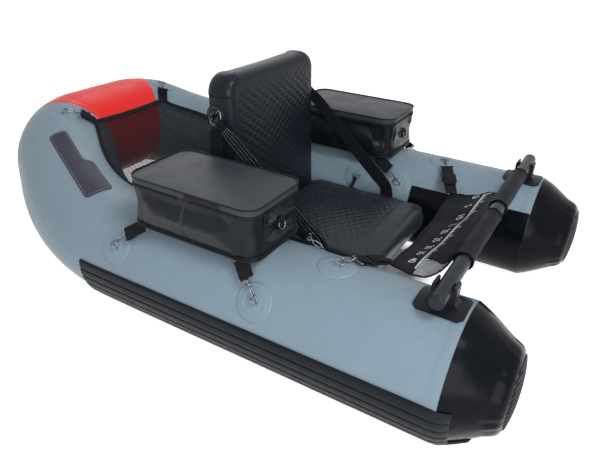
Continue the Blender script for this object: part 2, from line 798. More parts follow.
def rubber(name, colour, roughness):
    made = Finish(name, colour, roughness, specular=0.10)
    made.tint(made.noise(40, 5), shade(colour, 1.5), 0.5, 0.8)
    made.rough(made.noise(90, 4), roughness - 0.06, roughness + 0.12)
    made.bump(made.noise(700, 3), 0.00018, 0.6)
    return made.made


def webbing_cloth(name, colour, pitch=0.0022):
    """Woven webbing: ribs along it and picks across it, from its flat coordinates."""
    made = Finish(name, colour, 0.72, specular=0.10)
    woven = made.math("MULTIPLY", made.wave(1, pitch), made.wave(0, pitch * 0.7))
    made.tint(woven, shade(colour, 2.3), -0.4, 1.0)
    made.tint(made.noise(50, 4), shade(colour, 1.5), 0.45, 0.75)
    made.bump(woven, 0.00025)
    return made.made


def bag_fabric(name, colour, roughness, fold=0.0016, specular=0.14):
    """Tarpaulin cloth of the bags: a satin coating over a fine weave, with soft folds."""
    made = Finish(name, colour, roughness, specular=specular)
    made.tint(made.noise(9, 4), shade(colour, 1.30), 0.40, 0.72)
    made.rough(made.noise(18, 4), roughness - 0.07, roughness + 0.10)
    made.bump(made.noise(16, 4), fold)
    weave = made.math("MULTIPLY", made.wave(0, 0.0016, made.place), made.wave(1, 0.0016, made.place))
    made.bump(weave, 0.00006, 0.6)
    return made.made


def thin_cloth(name, colour, roughness=0.8):
    made = Finish(name, colour, roughness, specular=0.08)
    made.tint(made.noise(22, 5), shade(colour, 1.6), 0.45, 0.75)
    weave = made.math("MULTIPLY", made.wave(0, 0.0012, made.place), made.wave(1, 0.0012, made.place))
    made.bump(made.noise(30, 4, stretch=(1.0, 3.0, 1.0)), 0.0015)
    made.bump(weave, 0.00010, 0.6)
    return made.made


def polished(name, colour, roughness):
    made = Finish(name, colour, roughness, metallic=1.0)
    made.rough(made.noise(300, 3), roughness - 0.06, roughness + 0.14)
    made.tint(made.noise(140, 4), shade(colour, 0.75), 0.5, 0.8)
    made.bump(made.noise(1200, 2), 0.00004, 0.5)
    return made.made


def moulded(name, colour, roughness):
    made = Finish(name, colour, roughness, specular=0.14)
    made.tint(made.noise(80, 4), shade(colour, 1.6), 0.5, 0.8)
    made.rough(made.noise(140, 4), roughness - 0.05, roughness + 0.10)
    made.bump(made.noise(1100, 3), 0.00010, 0.5)
    return made.made


GREY = (0.186, 0.256, 0.310)
RED = (0.760, 0.016, 0.015)
BLACK = (0.003, 0.004, 0.006)

MATERIALS = {
    "grey": coated_fabric("grey_skin", GREY, 0.38),
    "red": coated_fabric("red_skin", RED, 0.38),
    "black": coated_fabric("black_skin", BLACK, 0.18, crease=0.0018, specular=0.07),
    "rubber": rubber("ribbed_rubber", (0.008, 0.010, 0.013), 0.40),
    "badge": coated_fabric("badge_skin", (0.034, 0.035, 0.056), 0.42, crease=0.0003, specular=0.15),
    "vinyl": coated_fabric("seat_vinyl_skin", (0.009, 0.012, 0.017), 0.26, specular=0.13),
    "cushion_vinyl": coated_fabric("cushion_vinyl_skin", (0.018, 0.023, 0.031), 0.26, specular=0.16),
    "webbing": webbing_cloth("webbing_weave", (0.005, 0.006, 0.008)),
    "net": thin_cloth("net_cloth", (0.008, 0.009, 0.012)),
    "bag": bag_fabric("bag_skin", (0.034, 0.039, 0.048), 0.36),
    "bag_side": bag_fabric("bag_side_skin", (0.007, 0.009, 0.012), 0.20, fold=0.0034, specular=0.16),
    "bag_dark": bag_fabric("bag_trim", (0.005, 0.006, 0.007), 0.40, fold=0.0004),
    "apron": thin_cloth("apron_cloth_weave", (0.007, 0.008, 0.011), 0.55),
    "plastic": moulded("moulded_plastic", (0.009, 0.010, 0.012), 0.36),
    "valve": moulded("valve_grey", (0.16, 0.17, 0.18), 0.36),
    "steel": polished("steel_wire", (0.20, 0.21, 0.23), 0.22),
    "bar": moulded("bar_coating", (0.015, 0.018, 0.024), 0.28),
    "print": thin_cloth("ruler_print", (0.78, 0.79, 0.80), 0.6),
    "pale": thin_cloth("pale_patch", (0.26, 0.27, 0.29), 0.5),
    "thread": thin_cloth("stitch_thread", (0.06, 0.065, 0.07), 0.7),
    "light_thread": thin_cloth("light_thread", (0.45, 0.46, 0.48), 0.7),
}


# Mesh helpers

def smooth_step(value, low, high):
    share = min(1.0, max(0.0, (value - low) / (high - low)))
    return share * share * (3 - 2 * share)


def hump(value, centre, width):
    return math.exp(-((value - centre) / width) ** 2)


def rough_noise(x, y, z=0.0):
    return noise.noise(Vector((x, y, z)))


def dress(name, bm, finish, body, replaces=(), smooth_deg=40.0, tidy=True):
    """Turn a bmesh into a piece that rides on a body and stands for the CAD nodes it replaces."""
    if tidy:
        bmesh.ops.recalc_face_normals(bm, faces=bm.faces)
    mesh = bpy.data.meshes.new(name)
    bm.to_mesh(mesh)
    bm.free()
    for face in mesh.polygons:
        face.use_smooth = True
    if smooth_deg:
        mesh.set_sharp_from_angle(angle=math.radians(smooth_deg))
    mesh.materials.append(MATERIALS[finish])
    made = bpy.data.objects.new(name, mesh)
    bpy.context.scene.collection.objects.link(made)
    if body:
        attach(made, body)
    if replaces:
        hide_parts(*replaces)
    return made


def grid_skin(bm, rows, around=False, loop=False, ends=False):
    """Faces over rows of points, with flat coordinates in metres; rows close round, or into a loop."""
    layer = bm.loops.layers.uv.verify()
    verts = [[bm.verts.new(point) for point in row] for row in rows]
    along = [0.0]
    for first, second in zip(rows, rows[1:] + rows[:1]):
        along.append(along[-1] + (Vector(second[0]) - Vector(first[0])).length)
    count = len(rows[0])
    across = [[0.0] for row in rows]
    for row, sums in zip(rows, across):
        for i in range(count):
            step = Vector(row[(i + 1) % count]) - Vector(row[i])
            sums.append(sums[-1] + step.length)
    row_steps = len(rows) if loop else len(rows) - 1
    column_steps = count if around else count - 1
    for r in range(row_steps):
        nr = (r + 1) % len(rows)
        for c in range(column_steps):
            nc = (c + 1) % count
            face = bm.faces.new((verts[r][c], verts[r][nc], verts[nr][nc], verts[nr][c]))
            spots = ((r, c, r), (r, c + 1, r), (nr, c + 1, r + 1), (nr, c, r + 1))
            for corner, (row, column, run) in zip(face.loops, spots):
                corner[layer].uv = (along[run], across[row][column])
    if ends:
        bm.faces.new(list(reversed(verts[0])))
        bm.faces.new(verts[-1])
    return verts


def skin_of(rows, **how):
    """A new mesh that holds one skin over rows of points."""
    bm = bmesh.new()
    grid_skin(bm, rows, **how)
    return bm


def smooth_line(points, steps):
    """A Catmull-Rom curve through the points."""
    found = []
    last = len(points) - 1
    for i in range(last):
        p0, p1, p2, p3 = (points[max(0, min(last, k))] for k in (i - 1, i, i + 1, i + 2))
        for k in range(steps):
            t = k / steps
            found.append(0.5 * (
                2 * p1 + (p2 - p0) * t + (2 * p0 - 5 * p1 + 4 * p2 - p3) * t ** 2
                + (3 * p1 - p0 - 3 * p2 + p3) * t ** 3
            ))
    found.append(points[-1].copy())
    return found


def rounded_path(points, radius, steps=4, closed=True):
    """A polyline whose corners are rounded off."""
    found = []
    count = len(points)
    for i, point in enumerate(points):
        if not closed and i in (0, count - 1):
            found.append(point.copy())
            continue
        back = points[i - 1] - point
        ahead = points[(i + 1) % count] - point
        reach = min(radius, back.length * 0.45, ahead.length * 0.45)
        start = point + back.normalized() * reach
        end = point + ahead.normalized() * reach
        for k in range(steps + 1):
            t = k / steps
            found.append(start.lerp(point, t).lerp(point.lerp(end, t), t))
    return found


def path_frames(points, closed):
    """A tangent and a steady sideways direction at each point of a path."""
    count = len(points)
    tangents = []
    for i in range(count):
        ahead = points[(i + 1) % count] if closed or i < count - 1 else points[i]
        back = points[i - 1] if closed or i > 0 else points[i]
        tangents.append((ahead - back).normalized())
    side = tangents[0].orthogonal().normalized()
    sides = []
    for tangent in tangents:
        side = (side - tangent * side.dot(tangent)).normalized()
        sides.append(side.copy())
    return tangents, sides


def add_wire(bm, points, radius, closed=True, sides=10):
    """A round wire or cord along a path."""
    tangents, across = path_frames(points, closed)
    rings = []
    for point, tangent, side in zip(points, tangents, across):
        rings.append(disc_points(point, side, tangent.cross(side), radius, sides))
    grid_skin(bm, rings, around=True, loop=closed, ends=not closed)


STRAP_EDGE_STEPS = 5


def add_strap(bm, points, across, width, thickness):
    """Webbing with rounded edges along a path; across and width hold for all of it or each point."""
    rings = []
    last = len(points) - 1
    for i, point in enumerate(points):
        tangent = (points[min(i + 1, last)] - points[max(i - 1, 0)]).normalized()
        wide = across[i] if isinstance(across, list) else across
        wide = (wide - tangent * wide.dot(tangent)).normalized()
        face = tangent.cross(wide)
        half = (width[i] if isinstance(width, list) else width) / 2
        ring = []
        for sign in (1, -1):
            flat = half - thickness / 2
            for k in range(5):
                x = sign * (flat - 2 * flat * k / 4)
                ring.append(point + wide * x + face * (sign * thickness / 2))
            for k in range(1, STRAP_EDGE_STEPS):
                turn = math.pi * k / STRAP_EDGE_STEPS
                x = -sign * (flat + thickness / 2 * math.sin(turn))
                ring.append(point + wide * x + face * (sign * thickness / 2 * math.cos(turn)))
        rings.append(ring)
    grid_skin(bm, rings, around=True, ends=True)


def add_stitches(bm, points, outward, length=0.0032, gap=0.0016, radius=0.00042):
    """A row of short thread stitches laid along a path; outward lifts them off the cloth."""
    for i in range(len(points) - 1):
        run = points[i + 1] - points[i]
        lift = outward[i] if isinstance(outward, list) else outward
        steps = max(1, int(run.length / (length + gap) + 0.5))
        for k in range(steps):
            a = points[i] + run * ((k + 0.15) / steps) + lift * radius
            b = points[i] + run * ((k + 0.85) / steps) + lift * radius
            tangent = (b - a).normalized()
            side = tangent.cross(lift).normalized() * radius
            middle = (a + b) / 2
            corners = [a, middle - side, b, middle + side]
            peak = bm.verts.new(middle + lift * radius)
            ring = [bm.verts.new(corner) for corner in corners]
            for m in range(4):
                bm.faces.new((ring[m], ring[(m + 1) % 4], peak))


def add_stitch_loop(bm, points, outward, length=0.0035, gap=0.002):
    """Stitches all the way round a closed line, lifted off the cloth at each of its points."""
    add_stitches(bm, points + [points[0]], outward + [outward[0]], length, gap)


def add_turned(bm, centre, axis, profile, sides=28):
    u = axis.orthogonal().normalized()
    v = axis.cross(u)
    rings = [disc_points(centre + axis * height, u, v, radius, sides) for radius, height in profile]
    grid_skin(bm, rings, around=True, ends=True)


def bar_box(bm, centre, x_dir, y_dir, z_dir, halves, bevel):
    """A small block with bevelled edges, in its own axes."""
    made = bmesh.ops.create_cube(bm, size=2)
    edges = list({edge for vert in made["verts"] for edge in vert.link_edges})
    place = frame_matrix(centre, x_dir, y_dir, z_dir) @ Matrix.Diagonal((*halves, 1))
    bmesh.ops.transform(bm, matrix=place, verts=made["verts"])
    bmesh.ops.bevel(bm, geom=edges, offset=bevel, segments=2, affect="EDGES", profile=0.5)


def paint(node, finish):
    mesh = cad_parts[node].data
    mesh.materials.clear()
    mesh.materials.append(MATERIALS[finish])


# Hull

SKIN_SIDES = 112
SKIN_STEP = 0.014
TAPE_HEIGHT = 0.0006
SKIN_ANGLES = [360 * k / SKIN_SIDES for k in range(SKIN_SIDES)]
SKIN_SINK = 0.0009
SKIN_SWELL = 0.0012
RED_SWELL = 0.0010
BEND_RIPPLE = 0.0006
CORNER_RIPPLE = 0.0022
RIPPLE_LENGTH = 0.043
BEND_FADE = 0.10
SEAM_PUCKER = 0.0013
MIDDLE_GROOVE = 0.0010
SIDE_GROOVE = 0.0008
SIDE_GROOVE_REACH = 0.030
NOSE_GATHER = 0.0017
NOSE_SWELL = 0.0016
NOSE_SINK = 0.0008
STRIP_SWELL = 0.0003
STRIP_END_SHARE = 0.35
CHAFE_SWELL = 0.0006
CHAFE_SINK = 0.0005
BADGE_CORNER = 0.016
BADGE_BORDER_INSET = 0.0045
BADGE_BORDER_RADIUS = 0.0004
RIM_SINK = 0.002
NOSE_SKIN_RIBS = 14
NOSE_SHOULDER = (
    (-0.003, 0.1105), (0.007, 0.1045), (0.0135, 0.0965), (0.0175, 0.087), (0.0225, 0.064), (0.025, 0.034),
    (0.0255, 0.002),
)
NOSE_TAPE = 0.026
SEAM_TAPE = 0.016
TAPE_BLEND = 0.0015


def steps_between(start, end, step=SKIN_STEP):
    return spread(start, end, max(1, round(abs(end - start) / step)))


def bend_pucker(s, degrees):
    """Ripples across the inner side of the tube where it bends: metres, positive outwards."""
    inner = hump(abs((degrees % 360) - 180), 0, 62)
    first = STRAIGHT_RUN
    second = HALF_LENGTH - CROSS_RUN - BOW_CORNER_RADIUS * TURN_B
    far_bend = smooth_step(s, first, first + BEND_FADE) * (1 - smooth_step(s, second, second + BEND_FADE))
    corner = smooth_step(s, second - 0.02, second + 0.06)
    corner *= 1 - smooth_step(s, HALF_LENGTH - BEND_FADE, HALF_LENGTH)
    ripple = math.sin(2 * math.pi * s / RIPPLE_LENGTH + 2.5 * rough_noise(s * 6, degrees / 30))
    strength = 0.5 + 0.5 * rough_noise(s * 9, degrees / 22, 4.0)
    return (BEND_RIPPLE * far_bend + CORNER_RIPPLE * corner) * inner * ripple * strength


def seam_relief(s, seam, width):
    """A welded tape beside a seam."""
    return TAPE_HEIGHT * (1 - smooth_step(abs(s - seam), width - TAPE_BLEND, width + TAPE_BLEND))


def grey_height(s, degrees):
    """Height of the grey skin over the tube: tapes, puckers beside them, ripples and a slow swell."""
    pucker = math.sin(math.radians(degrees) * 37) * rough_noise(degrees / 9, 2.0)
    height = seam_relief(s, 0.0, NOSE_TAPE) + seam_relief(s, PANEL_SEAM, SEAM_TAPE)
    height += bend_pucker(s, degrees)
    beside = hump(s, 0.036, 0.020) + 0.6 * hump(s, PANEL_SEAM - 0.024, 0.012)
    height += SEAM_PUCKER * pucker * beside
    height += SKIN_SWELL * rough_noise(s * 3.2, degrees / 55, 1.0)
    return height - SKIN_SINK


def make_grey_tube(side, name):
    stops = [0.0, 0.012, NOSE_TAPE - TAPE_BLEND, NOSE_TAPE + TAPE_BLEND, 0.034, 0.042]
    stops += steps_between(0.05, PANEL_SEAM - 0.034)
    back = (0.026, SEAM_TAPE + TAPE_BLEND, SEAM_TAPE - TAPE_BLEND, 0.008, 0.0)
    stops += [PANEL_SEAM - reach for reach in back]
    rows = [[tube_point(side, s, a, grey_height(s, a)) for a in SKIN_ANGLES] for s in stops]
    bm = skin_of(rows, around=True)
    dress(f"{name}_tube_skin", bm, "grey", "hull", [f"{name}_pontoon"])


def red_height(s, degrees):
    """Height of the red skin over the tube, with its middle seam and the seam line beside each end."""
    height = seam_relief(s, PANEL_SEAM, SEAM_TAPE) + bend_pucker(s, degrees)
    height -= MIDDLE_GROOVE * hump(s, HALF_LENGTH, 0.004)
    height += SIDE_GROOVE * hump(s, HALF_LENGTH - 0.010, 0.005)
    height -= SIDE_GROOVE * hump(s, PANEL_SEAM + SIDE_GROOVE_REACH, 0.0022)
    height += RED_SWELL * rough_noise(s * 3.2, degrees / 55, 1.0) * (1 - hump(s, HALF_LENGTH, 0.05))
    return height - SKIN_SINK


def make_red_panel():
    ahead = (0.0, 0.008, SEAM_TAPE - TAPE_BLEND, SEAM_TAPE + TAPE_BLEND, 0.026, 0.0285, 0.030, 0.0315, 0.034)
    stops = [PANEL_SEAM + reach for reach in ahead]
    stops += steps_between(PANEL_SEAM + 0.042, HALF_LENGTH - 0.020, 0.009)
    stops += [HALF_LENGTH - reach for reach in (0.012, 0.007, 0.003, 0.0)]
    places = [(-1, s) for s in stops] + [(1, s) for s in reversed(stops[:-1])]
    rows = [[tube_point(side, s, a, red_height(s, a)) for a in SKIN_ANGLES] for side, s in places]
    bm = skin_of(rows, around=True)
    dress("bow_red_skin", bm, "red", "hull", ["bow_panel"])


def plain_nose(depth):
    """Radius of the nose's cone and dome at a depth beyond its seam."""
    if depth < CONE_LENGTH:
        return TUBE_RADIUS + (DOME_RADIUS - TUBE_RADIUS) * (depth / CONE_LENGTH) ** NOSE_FULLNESS_SHARE
    share = min(1.0, (depth - CONE_LENGTH) / DOME_LENGTH)
    return DOME_RADIUS * math.sqrt(max(0.0, 1 - share ** 2))


def nose_meridian():
    """Depth and radius from the nose's seam to its tip, with a full, rounded shoulder round the pad."""
    found = [Vector((depth, plain_nose(depth))) for depth in spread(0.0, CONE_LENGTH - 0.016, 8)]
    found += [Vector((CONE_LENGTH + depth, radius)) for depth, radius in NOSE_SHOULDER]
    return smooth_line(found, 4)


def nose_crumple(depth, degrees):
    """Gathers of the black skin round the domed end, strongest at its shoulder."""
    turn = math.radians(degrees)
    folds = math.sin(19 * turn + 3 * rough_noise(degrees / 25, 1.0))
    folds += 0.7 * math.sin(31 * turn + 4 * rough_noise(degrees / 40, 7.0))
    strength = 0.55 + 0.9 * rough_noise(degrees / 17, 3.0)
    shoulder = hump(depth, CONE_LENGTH - 0.004, 0.020)
    wide = NOSE_SWELL * rough_noise(depth * 22, degrees / 26, 5.0) * smooth_step(depth, 0.01, 0.04)
    return NOSE_GATHER * folds * strength * shoulder + wide - NOSE_SINK


def make_nose(side, name):
    rows = []
    for depth, reach in nose_meridian():
        row = []
        for degrees in SKIN_ANGLES:
            turn = math.radians(degrees)
            radius = reach + nose_crumple(depth, degrees) * min(1.0, depth / 0.01) * min(1.0, reach / 0.09)
            row.append(Vector((
                side * (HALF_SPACING + math.cos(turn) * radius),
                SEAM_Y - depth,
                TUBE_AXIS_Z + math.sin(turn) * radius,
            )))
        rows.append(row)
    bm = skin_of(rows, around=True, ends=True)
    dress(f"{name}_nose_skin", bm, "black", "hull", [f"{name}_nose_cone"])


def make_nose_ribs(side, name):
    """The round ribbed pad: a rimmed disc whose level ribs stand proud."""
    bm = bmesh.new()
    lines = 6 * NOSE_SKIN_RIBS
    rows = []
    for r in range(lines + 1):
        share = 2 * r / lines - 1
        half = max(NOSE_PAD_TIP * 0.8, NOSE_PAD_RADIUS * math.sqrt(1 - share ** 2))
        crest = 0.5 - 0.5 * math.cos(2 * math.pi * r / 6)
        lift = NOSE_PAD_LIFT + NOSE_PAD_BASE * 0.5 + NOSE_PAD_RIB * smooth_step(crest, 0.2, 0.6)
        up = share * NOSE_PAD_RADIUS
        row = [nose_surface(side, -half, up, -RIM_SINK)]
        for x in spread(-half, half, 24):
            rim = 1 - smooth_step(half - abs(x), 0.0, 0.004)
            row.append(nose_surface(side, x, up, lift - NOSE_PAD_RIB * rim))
        row.append(nose_surface(side, half, up, -RIM_SINK))
        rows.append(row)
    grid_skin(bm, rows)
    dress(f"{name}_nose_ribs", bm, "rubber", "hull", [f"{name}_nose_pad"], smooth_deg=35)


def rib_profile(heights, steps=4):
    """A moulded strip's outline, its ribs rounded off between the listed angles and heights."""
    found = []
    for (a, ha), (b, hb) in zip(heights, heights[1:]):
        for k in range(steps):
            share = k / steps
            found.append((a + (b - a) * share, ha + (hb - ha) * smooth_step(share, 0, 1)))
    found.append(heights[-1])
    return found


def make_ribbed_strip(side, name, heights, overlap, node):
    """A ribbed rubber strip along a tube's straight run, lower at its two ends."""
    profile = rib_profile(heights)
    stops = [-overlap] + steps_between(-overlap + 0.003, STRAIGHT_RUN - 0.003, 0.02) + [STRAIGHT_RUN]
    rows = []
    for k, s in enumerate(stops):
        low = STRIP_END_SHARE if k in (0, len(stops) - 1) else 1.0
        wobble = STRIP_SWELL * rough_noise(s * 8, 0.5)
        row = [tube_point(side, s, profile[0][0], 0.0)]
        row += [tube_point(side, s, a, PATCH_LIFT + h * low + wobble) for a, h in profile]
        row.append(tube_point(side, s, profile[-1][0], 0.0))
        rows.append(row)
    bm = skin_of(rows)
    dress(name, bm, "rubber", "hull", [node], smooth_deg=50)


def make_chafe_skin(side, name):
    """The dark panel on the inner side of a tube, its edges turned down into the skin."""
    start, end = GAP, station(CHAFE_REAR_Y)
    angles = spread(CHAFE_TOP_DEG, CHAFE_END_DEG, 24)
    rows = []
    for k, s in enumerate([start, *spread(start, end, 18), end]):
        lift = -CHAFE_SINK if k in (0, 19) else PATCH_LIFT + CHAFE_THICKNESS
        row = [tube_point(side, s, angles[0], -CHAFE_SINK)]
        row += [tube_point(side, s, a, lift + CHAFE_SWELL * rough_noise(s * 11, a / 14)) for a in angles]
        row.append(tube_point(side, s, angles[-1], -CHAFE_SINK))
        rows.append(row)
    bm = skin_of(rows)
    dress(f"{name}_chafe_skin", bm, "black", "hull", [f"{name}_chafe_panel"])


BADGE_GRID = 0.012


def badge_outline():
    """The stepped bar's outline in its own axes: along, then across."""
    step = BADGE_LENGTH * BADGE_STEP_SHARE
    wide = BADGE_WIDTH + BADGE_STEP_WIDTH
    corners = [
        (0, 0), (BADGE_LENGTH, 0), (BADGE_LENGTH, BADGE_WIDTH),
        (step + BADGE_STEP_WIDTH * 0.5, BADGE_WIDTH), (step, wide), (0, wide),
    ]
    return rounded_path([Vector((x, y, 0)) for x, y in corners], BADGE_CORNER, 5)


def make_badge_skin():
    """The bare patch on the bow shoulder: a dark field inside a slightly paler rounded border."""
    turn = math.radians(BADGE_TURN_DEG)
    along = Vector((math.sin(turn), math.cos(turn), 0))
    across = Vector((math.cos(turn), -math.sin(turn), 0))
    corner = Vector((BADGE_CORNER_X, BADGE_CORNER_Y, 0))
    outline = badge_outline()

    def laid(point, height):
        place = corner + along * point.x + across * point.y
        s, degrees = surface_at(place.x, place.y)
        return tube_point(-1, s, degrees, height)

    flat = bmesh.new()
    dense = []
    for i, point in enumerate(outline):
        ahead = outline[(i + 1) % len(outline)]
        cuts = max(1, round((ahead - point).length / BADGE_GRID))
        dense += [point.lerp(ahead, k / cuts) for k in range(cuts)]
    edge = [flat.verts.new(point) for point in dense]
    for a, b in zip(edge, edge[1:] + edge[:1]):
        flat.edges.new((a, b))
    x = BADGE_GRID / 2
    while x < BADGE_LENGTH - 0.005:
        y = BADGE_GRID / 2
        while y < BADGE_WIDTH + BADGE_STEP_WIDTH - 0.005:
            if inside(dense, x, y, 0.004):
                flat.verts.new((x, y, 0))
            y += BADGE_GRID
        x += BADGE_GRID
    spots, triangles = delaunay_fill(flat, dense)
    bm = bmesh.new()
    top = [bm.verts.new(laid(Vector(spot), BADGE_LIFT + BADGE_THICKNESS)) for spot in spots]
    for a, b, c in triangles:
        bm.faces.new((top[a], top[b], top[c]))
    rim = [bm.verts.new(laid(point, 0.0002)) for point in dense]
    for i in range(len(dense)):
        j = (i + 1) % len(dense)
        bm.faces.new((top[i], rim[i], rim[j], top[j]))
    flat.free()
    dress("badge_skin_patch", bm, "badge", "hull", ["badge_patch"], smooth_deg=50)
    line = bmesh.new()
    inset = []
    for i, point in enumerate(dense):
        tangent = (dense[(i + 1) % len(dense)] - dense[i - 1]).normalized()
        inward = Vector((-tangent.y, tangent.x, 0))
        inset.append(laid(point + inward * BADGE_BORDER_INSET, BADGE_LIFT + BADGE_THICKNESS))
    add_wire(line, inset, BADGE_BORDER_RADIUS, sides=6)
    dress("badge_border_line", line, "pale", "hull")


def inside(outline, x, y, margin):
    """Whether a flat point lies inside an outline, at least a margin from its edge."""
    hit = False
    for a, b in zip(outline, outline[1:] + outline[:1]):
        if (a.y > y) != (b.y > y) and x < (b.x - a.x) * (y - a.y) / (b.y - a.y) + a.x:
            hit = not hit
    near = min((Vector((x, y, 0)) - a).length for a in outline)
    return hit and near > margin


def delaunay_fill(flat, outline):
    """Triangles that fill an outline and use the loose points inside it."""
    points = [vert.co.to_2d() for vert in flat.verts]
    count = len(outline)
    edges = [(i, (i + 1) % count) for i in range(count)]
    made = geometry.delaunay_2d_cdt(points, edges, [], 1, 1e-7)
    where = {}
    for new, olds in enumerate(made[3]):
        for old in olds:
            where[old] = new
    ranks = [where[i] for i in range(count)]
    rest = [i for i in range(len(made[0])) if i not in set(ranks)]
    index = {old: new for new, old in enumerate(ranks + rest)}
    spots = [(*made[0][i], 0.0) for i in ranks + rest]
    return spots, [tuple(index[i] for i in face) for face in made[2] if len(face) == 3]


PATCH_SKIN_SIDES = 40
PATCH_STEPS = (
    (0.0, 0.0026), (0.24, 0.0026), (0.28, 0.0026), (0.33, 0.0034), (0.38, 0.0025), (0.55, 0.0021),
    (0.60, 0.0022), (0.65, 0.0030), (0.70, 0.0020), (0.90, 0.0014), (0.97, 0.0012), (1.0, -0.0004),
)


def add_round_patch(bm, side, place):
    """A welded round patch with two moulded ridges."""
    rings = []
    for share, height in PATCH_STEPS[1:]:
        ring = []
        for turn in turns_round(PATCH_SKIN_SIDES):
            run = PATCH_RADIUS * share * math.cos(turn)
            swing = math.degrees(PATCH_RADIUS * share * math.sin(turn) / TUBE_RADIUS)
            ring.append(tube_point(side, place.s + run, place.degrees + swing, height))
        rings.append(ring)
    verts = grid_skin(bm, rings, around=True)
    middle = bm.verts.new(tube_point(side, place.s, place.degrees, PATCH_STEPS[0][1]))
    for i in range(PATCH_SKIN_SIDES):
        bm.faces.new((middle, verts[0][(i + 1) % PATCH_SKIN_SIDES], verts[0][i]))


def tab_line(origin, pulled, outward, round_share):
    """Middle of a tab's webbing, over a ring's bar; round_share is how far it bends with the tube."""
    foot = TAB_THICKNESS / 2 - TAB_SINK
    fall = TAB_HALF_LENGTH ** 2 / (2 * TUBE_RADIUS) * round_share ** 2
    arch = WIRE_RADIUS + 2 * GAP + TAB_THICKNESS / 2
    path = [(-TAB_HALF_LENGTH, foot - fall), (-TAB_HALF_LENGTH * 0.6, foot), (-arch * 1.25, foot)]
    path += [(x, GAP + WIRE_RADIUS + z) for x, z in arc_xy(0, 0, arch, 150, 30, 8)]
    path += [(arch * 1.25, foot), (TAB_HALF_LENGTH * 0.6, foot), (TAB_HALF_LENGTH, foot - fall)]
    return [origin + pulled * x + outward * z for x, z in path]


def add_soft_tab(bm, stitches, origin, pulled, bar, outward, round_share=0.0):
    add_strap(bm, tab_line(origin, pulled, outward, round_share), bar, TAB_WIDTH, TAB_THICKNESS)
    lift = outward * (TAB_THICKNESS - TAB_SINK)
    for reach in (-0.9, -0.55, 0.55, 0.9):
        spot = origin + pulled * TAB_HALF_LENGTH * reach + lift
        add_stitches(stitches, [spot - bar * TAB_WIDTH * 0.4, spot + bar * TAB_WIDTH * 0.4], outward)
    for sign in (-1, 1):
        edge = bar * TAB_WIDTH * 0.4 * sign + lift
        for a, b in ((-0.9, -0.5), (0.5, 0.9)):
            start = origin + pulled * TAB_HALF_LENGTH * a + edge
            end = origin + pulled * TAB_HALF_LENGTH * b + edge
            add_stitches(stitches, [start, end], outward)


def make_hull_fittings(side, name):
    """The ring patches of a tube with their sewn tabs, and its closed valve on the inner side."""
    patches, tabs, stitches, valve = (bmesh.new() for k in range(4))
    for place in ring_places():
        add_round_patch(patches, side, place)
        add_soft_tab(tabs, stitches, *ring_frame(side, place), place.pull[1])
    s = station(VALVE_Y)
    lip = VALVE_FLANGE
    add_turned(valve, tube_point(side, s, VALVE_DEG), tube_axes(side, s, VALVE_DEG)[2], (
        (VALVE_RADIUS, -lip), (VALVE_RADIUS, lip * 0.6), (VALVE_RADIUS - 0.001, lip),
        (VALVE_CAP_RADIUS + 0.002, lip), (VALVE_CAP_RADIUS + 0.001, lip * 0.7), (VALVE_CAP_RADIUS, lip * 0.7),
        (VALVE_CAP_RADIUS, VALVE_CAP_HEIGHT - 0.002), (VALVE_CAP_RADIUS - 0.002, VALVE_CAP_HEIGHT),
        (0.005, VALVE_CAP_HEIGHT), (0.004, VALVE_CAP_HEIGHT - 0.001), (0.001, VALVE_CAP_HEIGHT - 0.001),
    ))
    node = f"{name}_pontoon"
    dress(f"{name}_ring_patches", patches, "grey", "hull", [node], smooth_deg=60)
    dress(f"{name}_ring_tabs", tabs, "grey", "hull", [node], smooth_deg=50)
    dress(f"{name}_tab_stitches", stitches, "thread", "hull")
    dress(f"{name}_hull_valve", valve, "plastic", "hull", [node], smooth_deg=35)


# Rings and hooks

RING_SHOULDER_SHARE = 0.45
RING_TIP_SHARE = 0.55
RING_BEND_SHARE = 0.42


def add_bent_ring(bm, centre, bar, reach_dir, half_width=RING_HALF_WIDTH, reach=RING_REACH):
    """A ring of round wire with a straight bar, sloped shoulders and a narrower far side."""
    shoulder, tip = reach * RING_SHOULDER_SHARE, half_width * RING_TIP_SHARE
    outline = (
        (-half_width, 0), (half_width, 0), (half_width, shoulder),
        (tip, reach), (-tip, reach), (-half_width, shoulder),
    )
    points = [centre + bar * x + reach_dir * y for x, y in outline]
    add_wire(bm, rounded_path(points, half_width * RING_BEND_SHARE, 5), WIRE_RADIUS)


def add_snap_hook(bm, eye, towards, bar):
    """A swivel eye, a barrel neck, and a long loop closed by a slim sprung gate."""
    place = frame_matrix(eye, bar.cross(towards), -towards, bar)
    mean_eye = (HOOK_EYE_RADIUS + HOOK_EYE_BORE) / 2
    mean_loop = (HOOK_LOOP_RADIUS + HOOK_LOOP_BORE) / 2
    thick = (HOOK_LOOP_RADIUS - HOOK_LOOP_BORE) / 2
    eye_line = [place @ Vector((x, y, 0)) for x, y in arc_xy(0, 0, mean_eye, 90, 430, 20)]
    add_wire(bm, eye_line, thick * 0.95)
    loop = arc_xy(0, HOOK_LOOP_START, mean_loop, 180, 360, 12)
    loop += arc_xy(0, HOOK_LOOP_END, mean_loop, 0, 180, 12)
    add_wire(bm, [place @ Vector((x, y, 0)) for x, y in loop], thick)
    neck = place @ Vector((0, HOOK_EYE_RADIUS * 0.72, 0))
    span = HOOK_LOOP_START - mean_loop - HOOK_EYE_RADIUS * 0.72
    add_turned(bm, neck, -towards, (
        (0.0016, 0.0), (0.0030, 0.0006), (0.0032, span * 0.45), (0.0022, span * 0.55),
        (0.0032, span * 0.65), (0.0030, span * 0.95), (0.0018, span),
    ), 14)
    gate = [place @ Vector((mean_loop + 0.0007, y, 0)) for y in spread(HOOK_LOOP_START, HOOK_LOOP_END, 4)]
    add_wire(bm, gate, thick * 1.15, closed=False, sides=8)


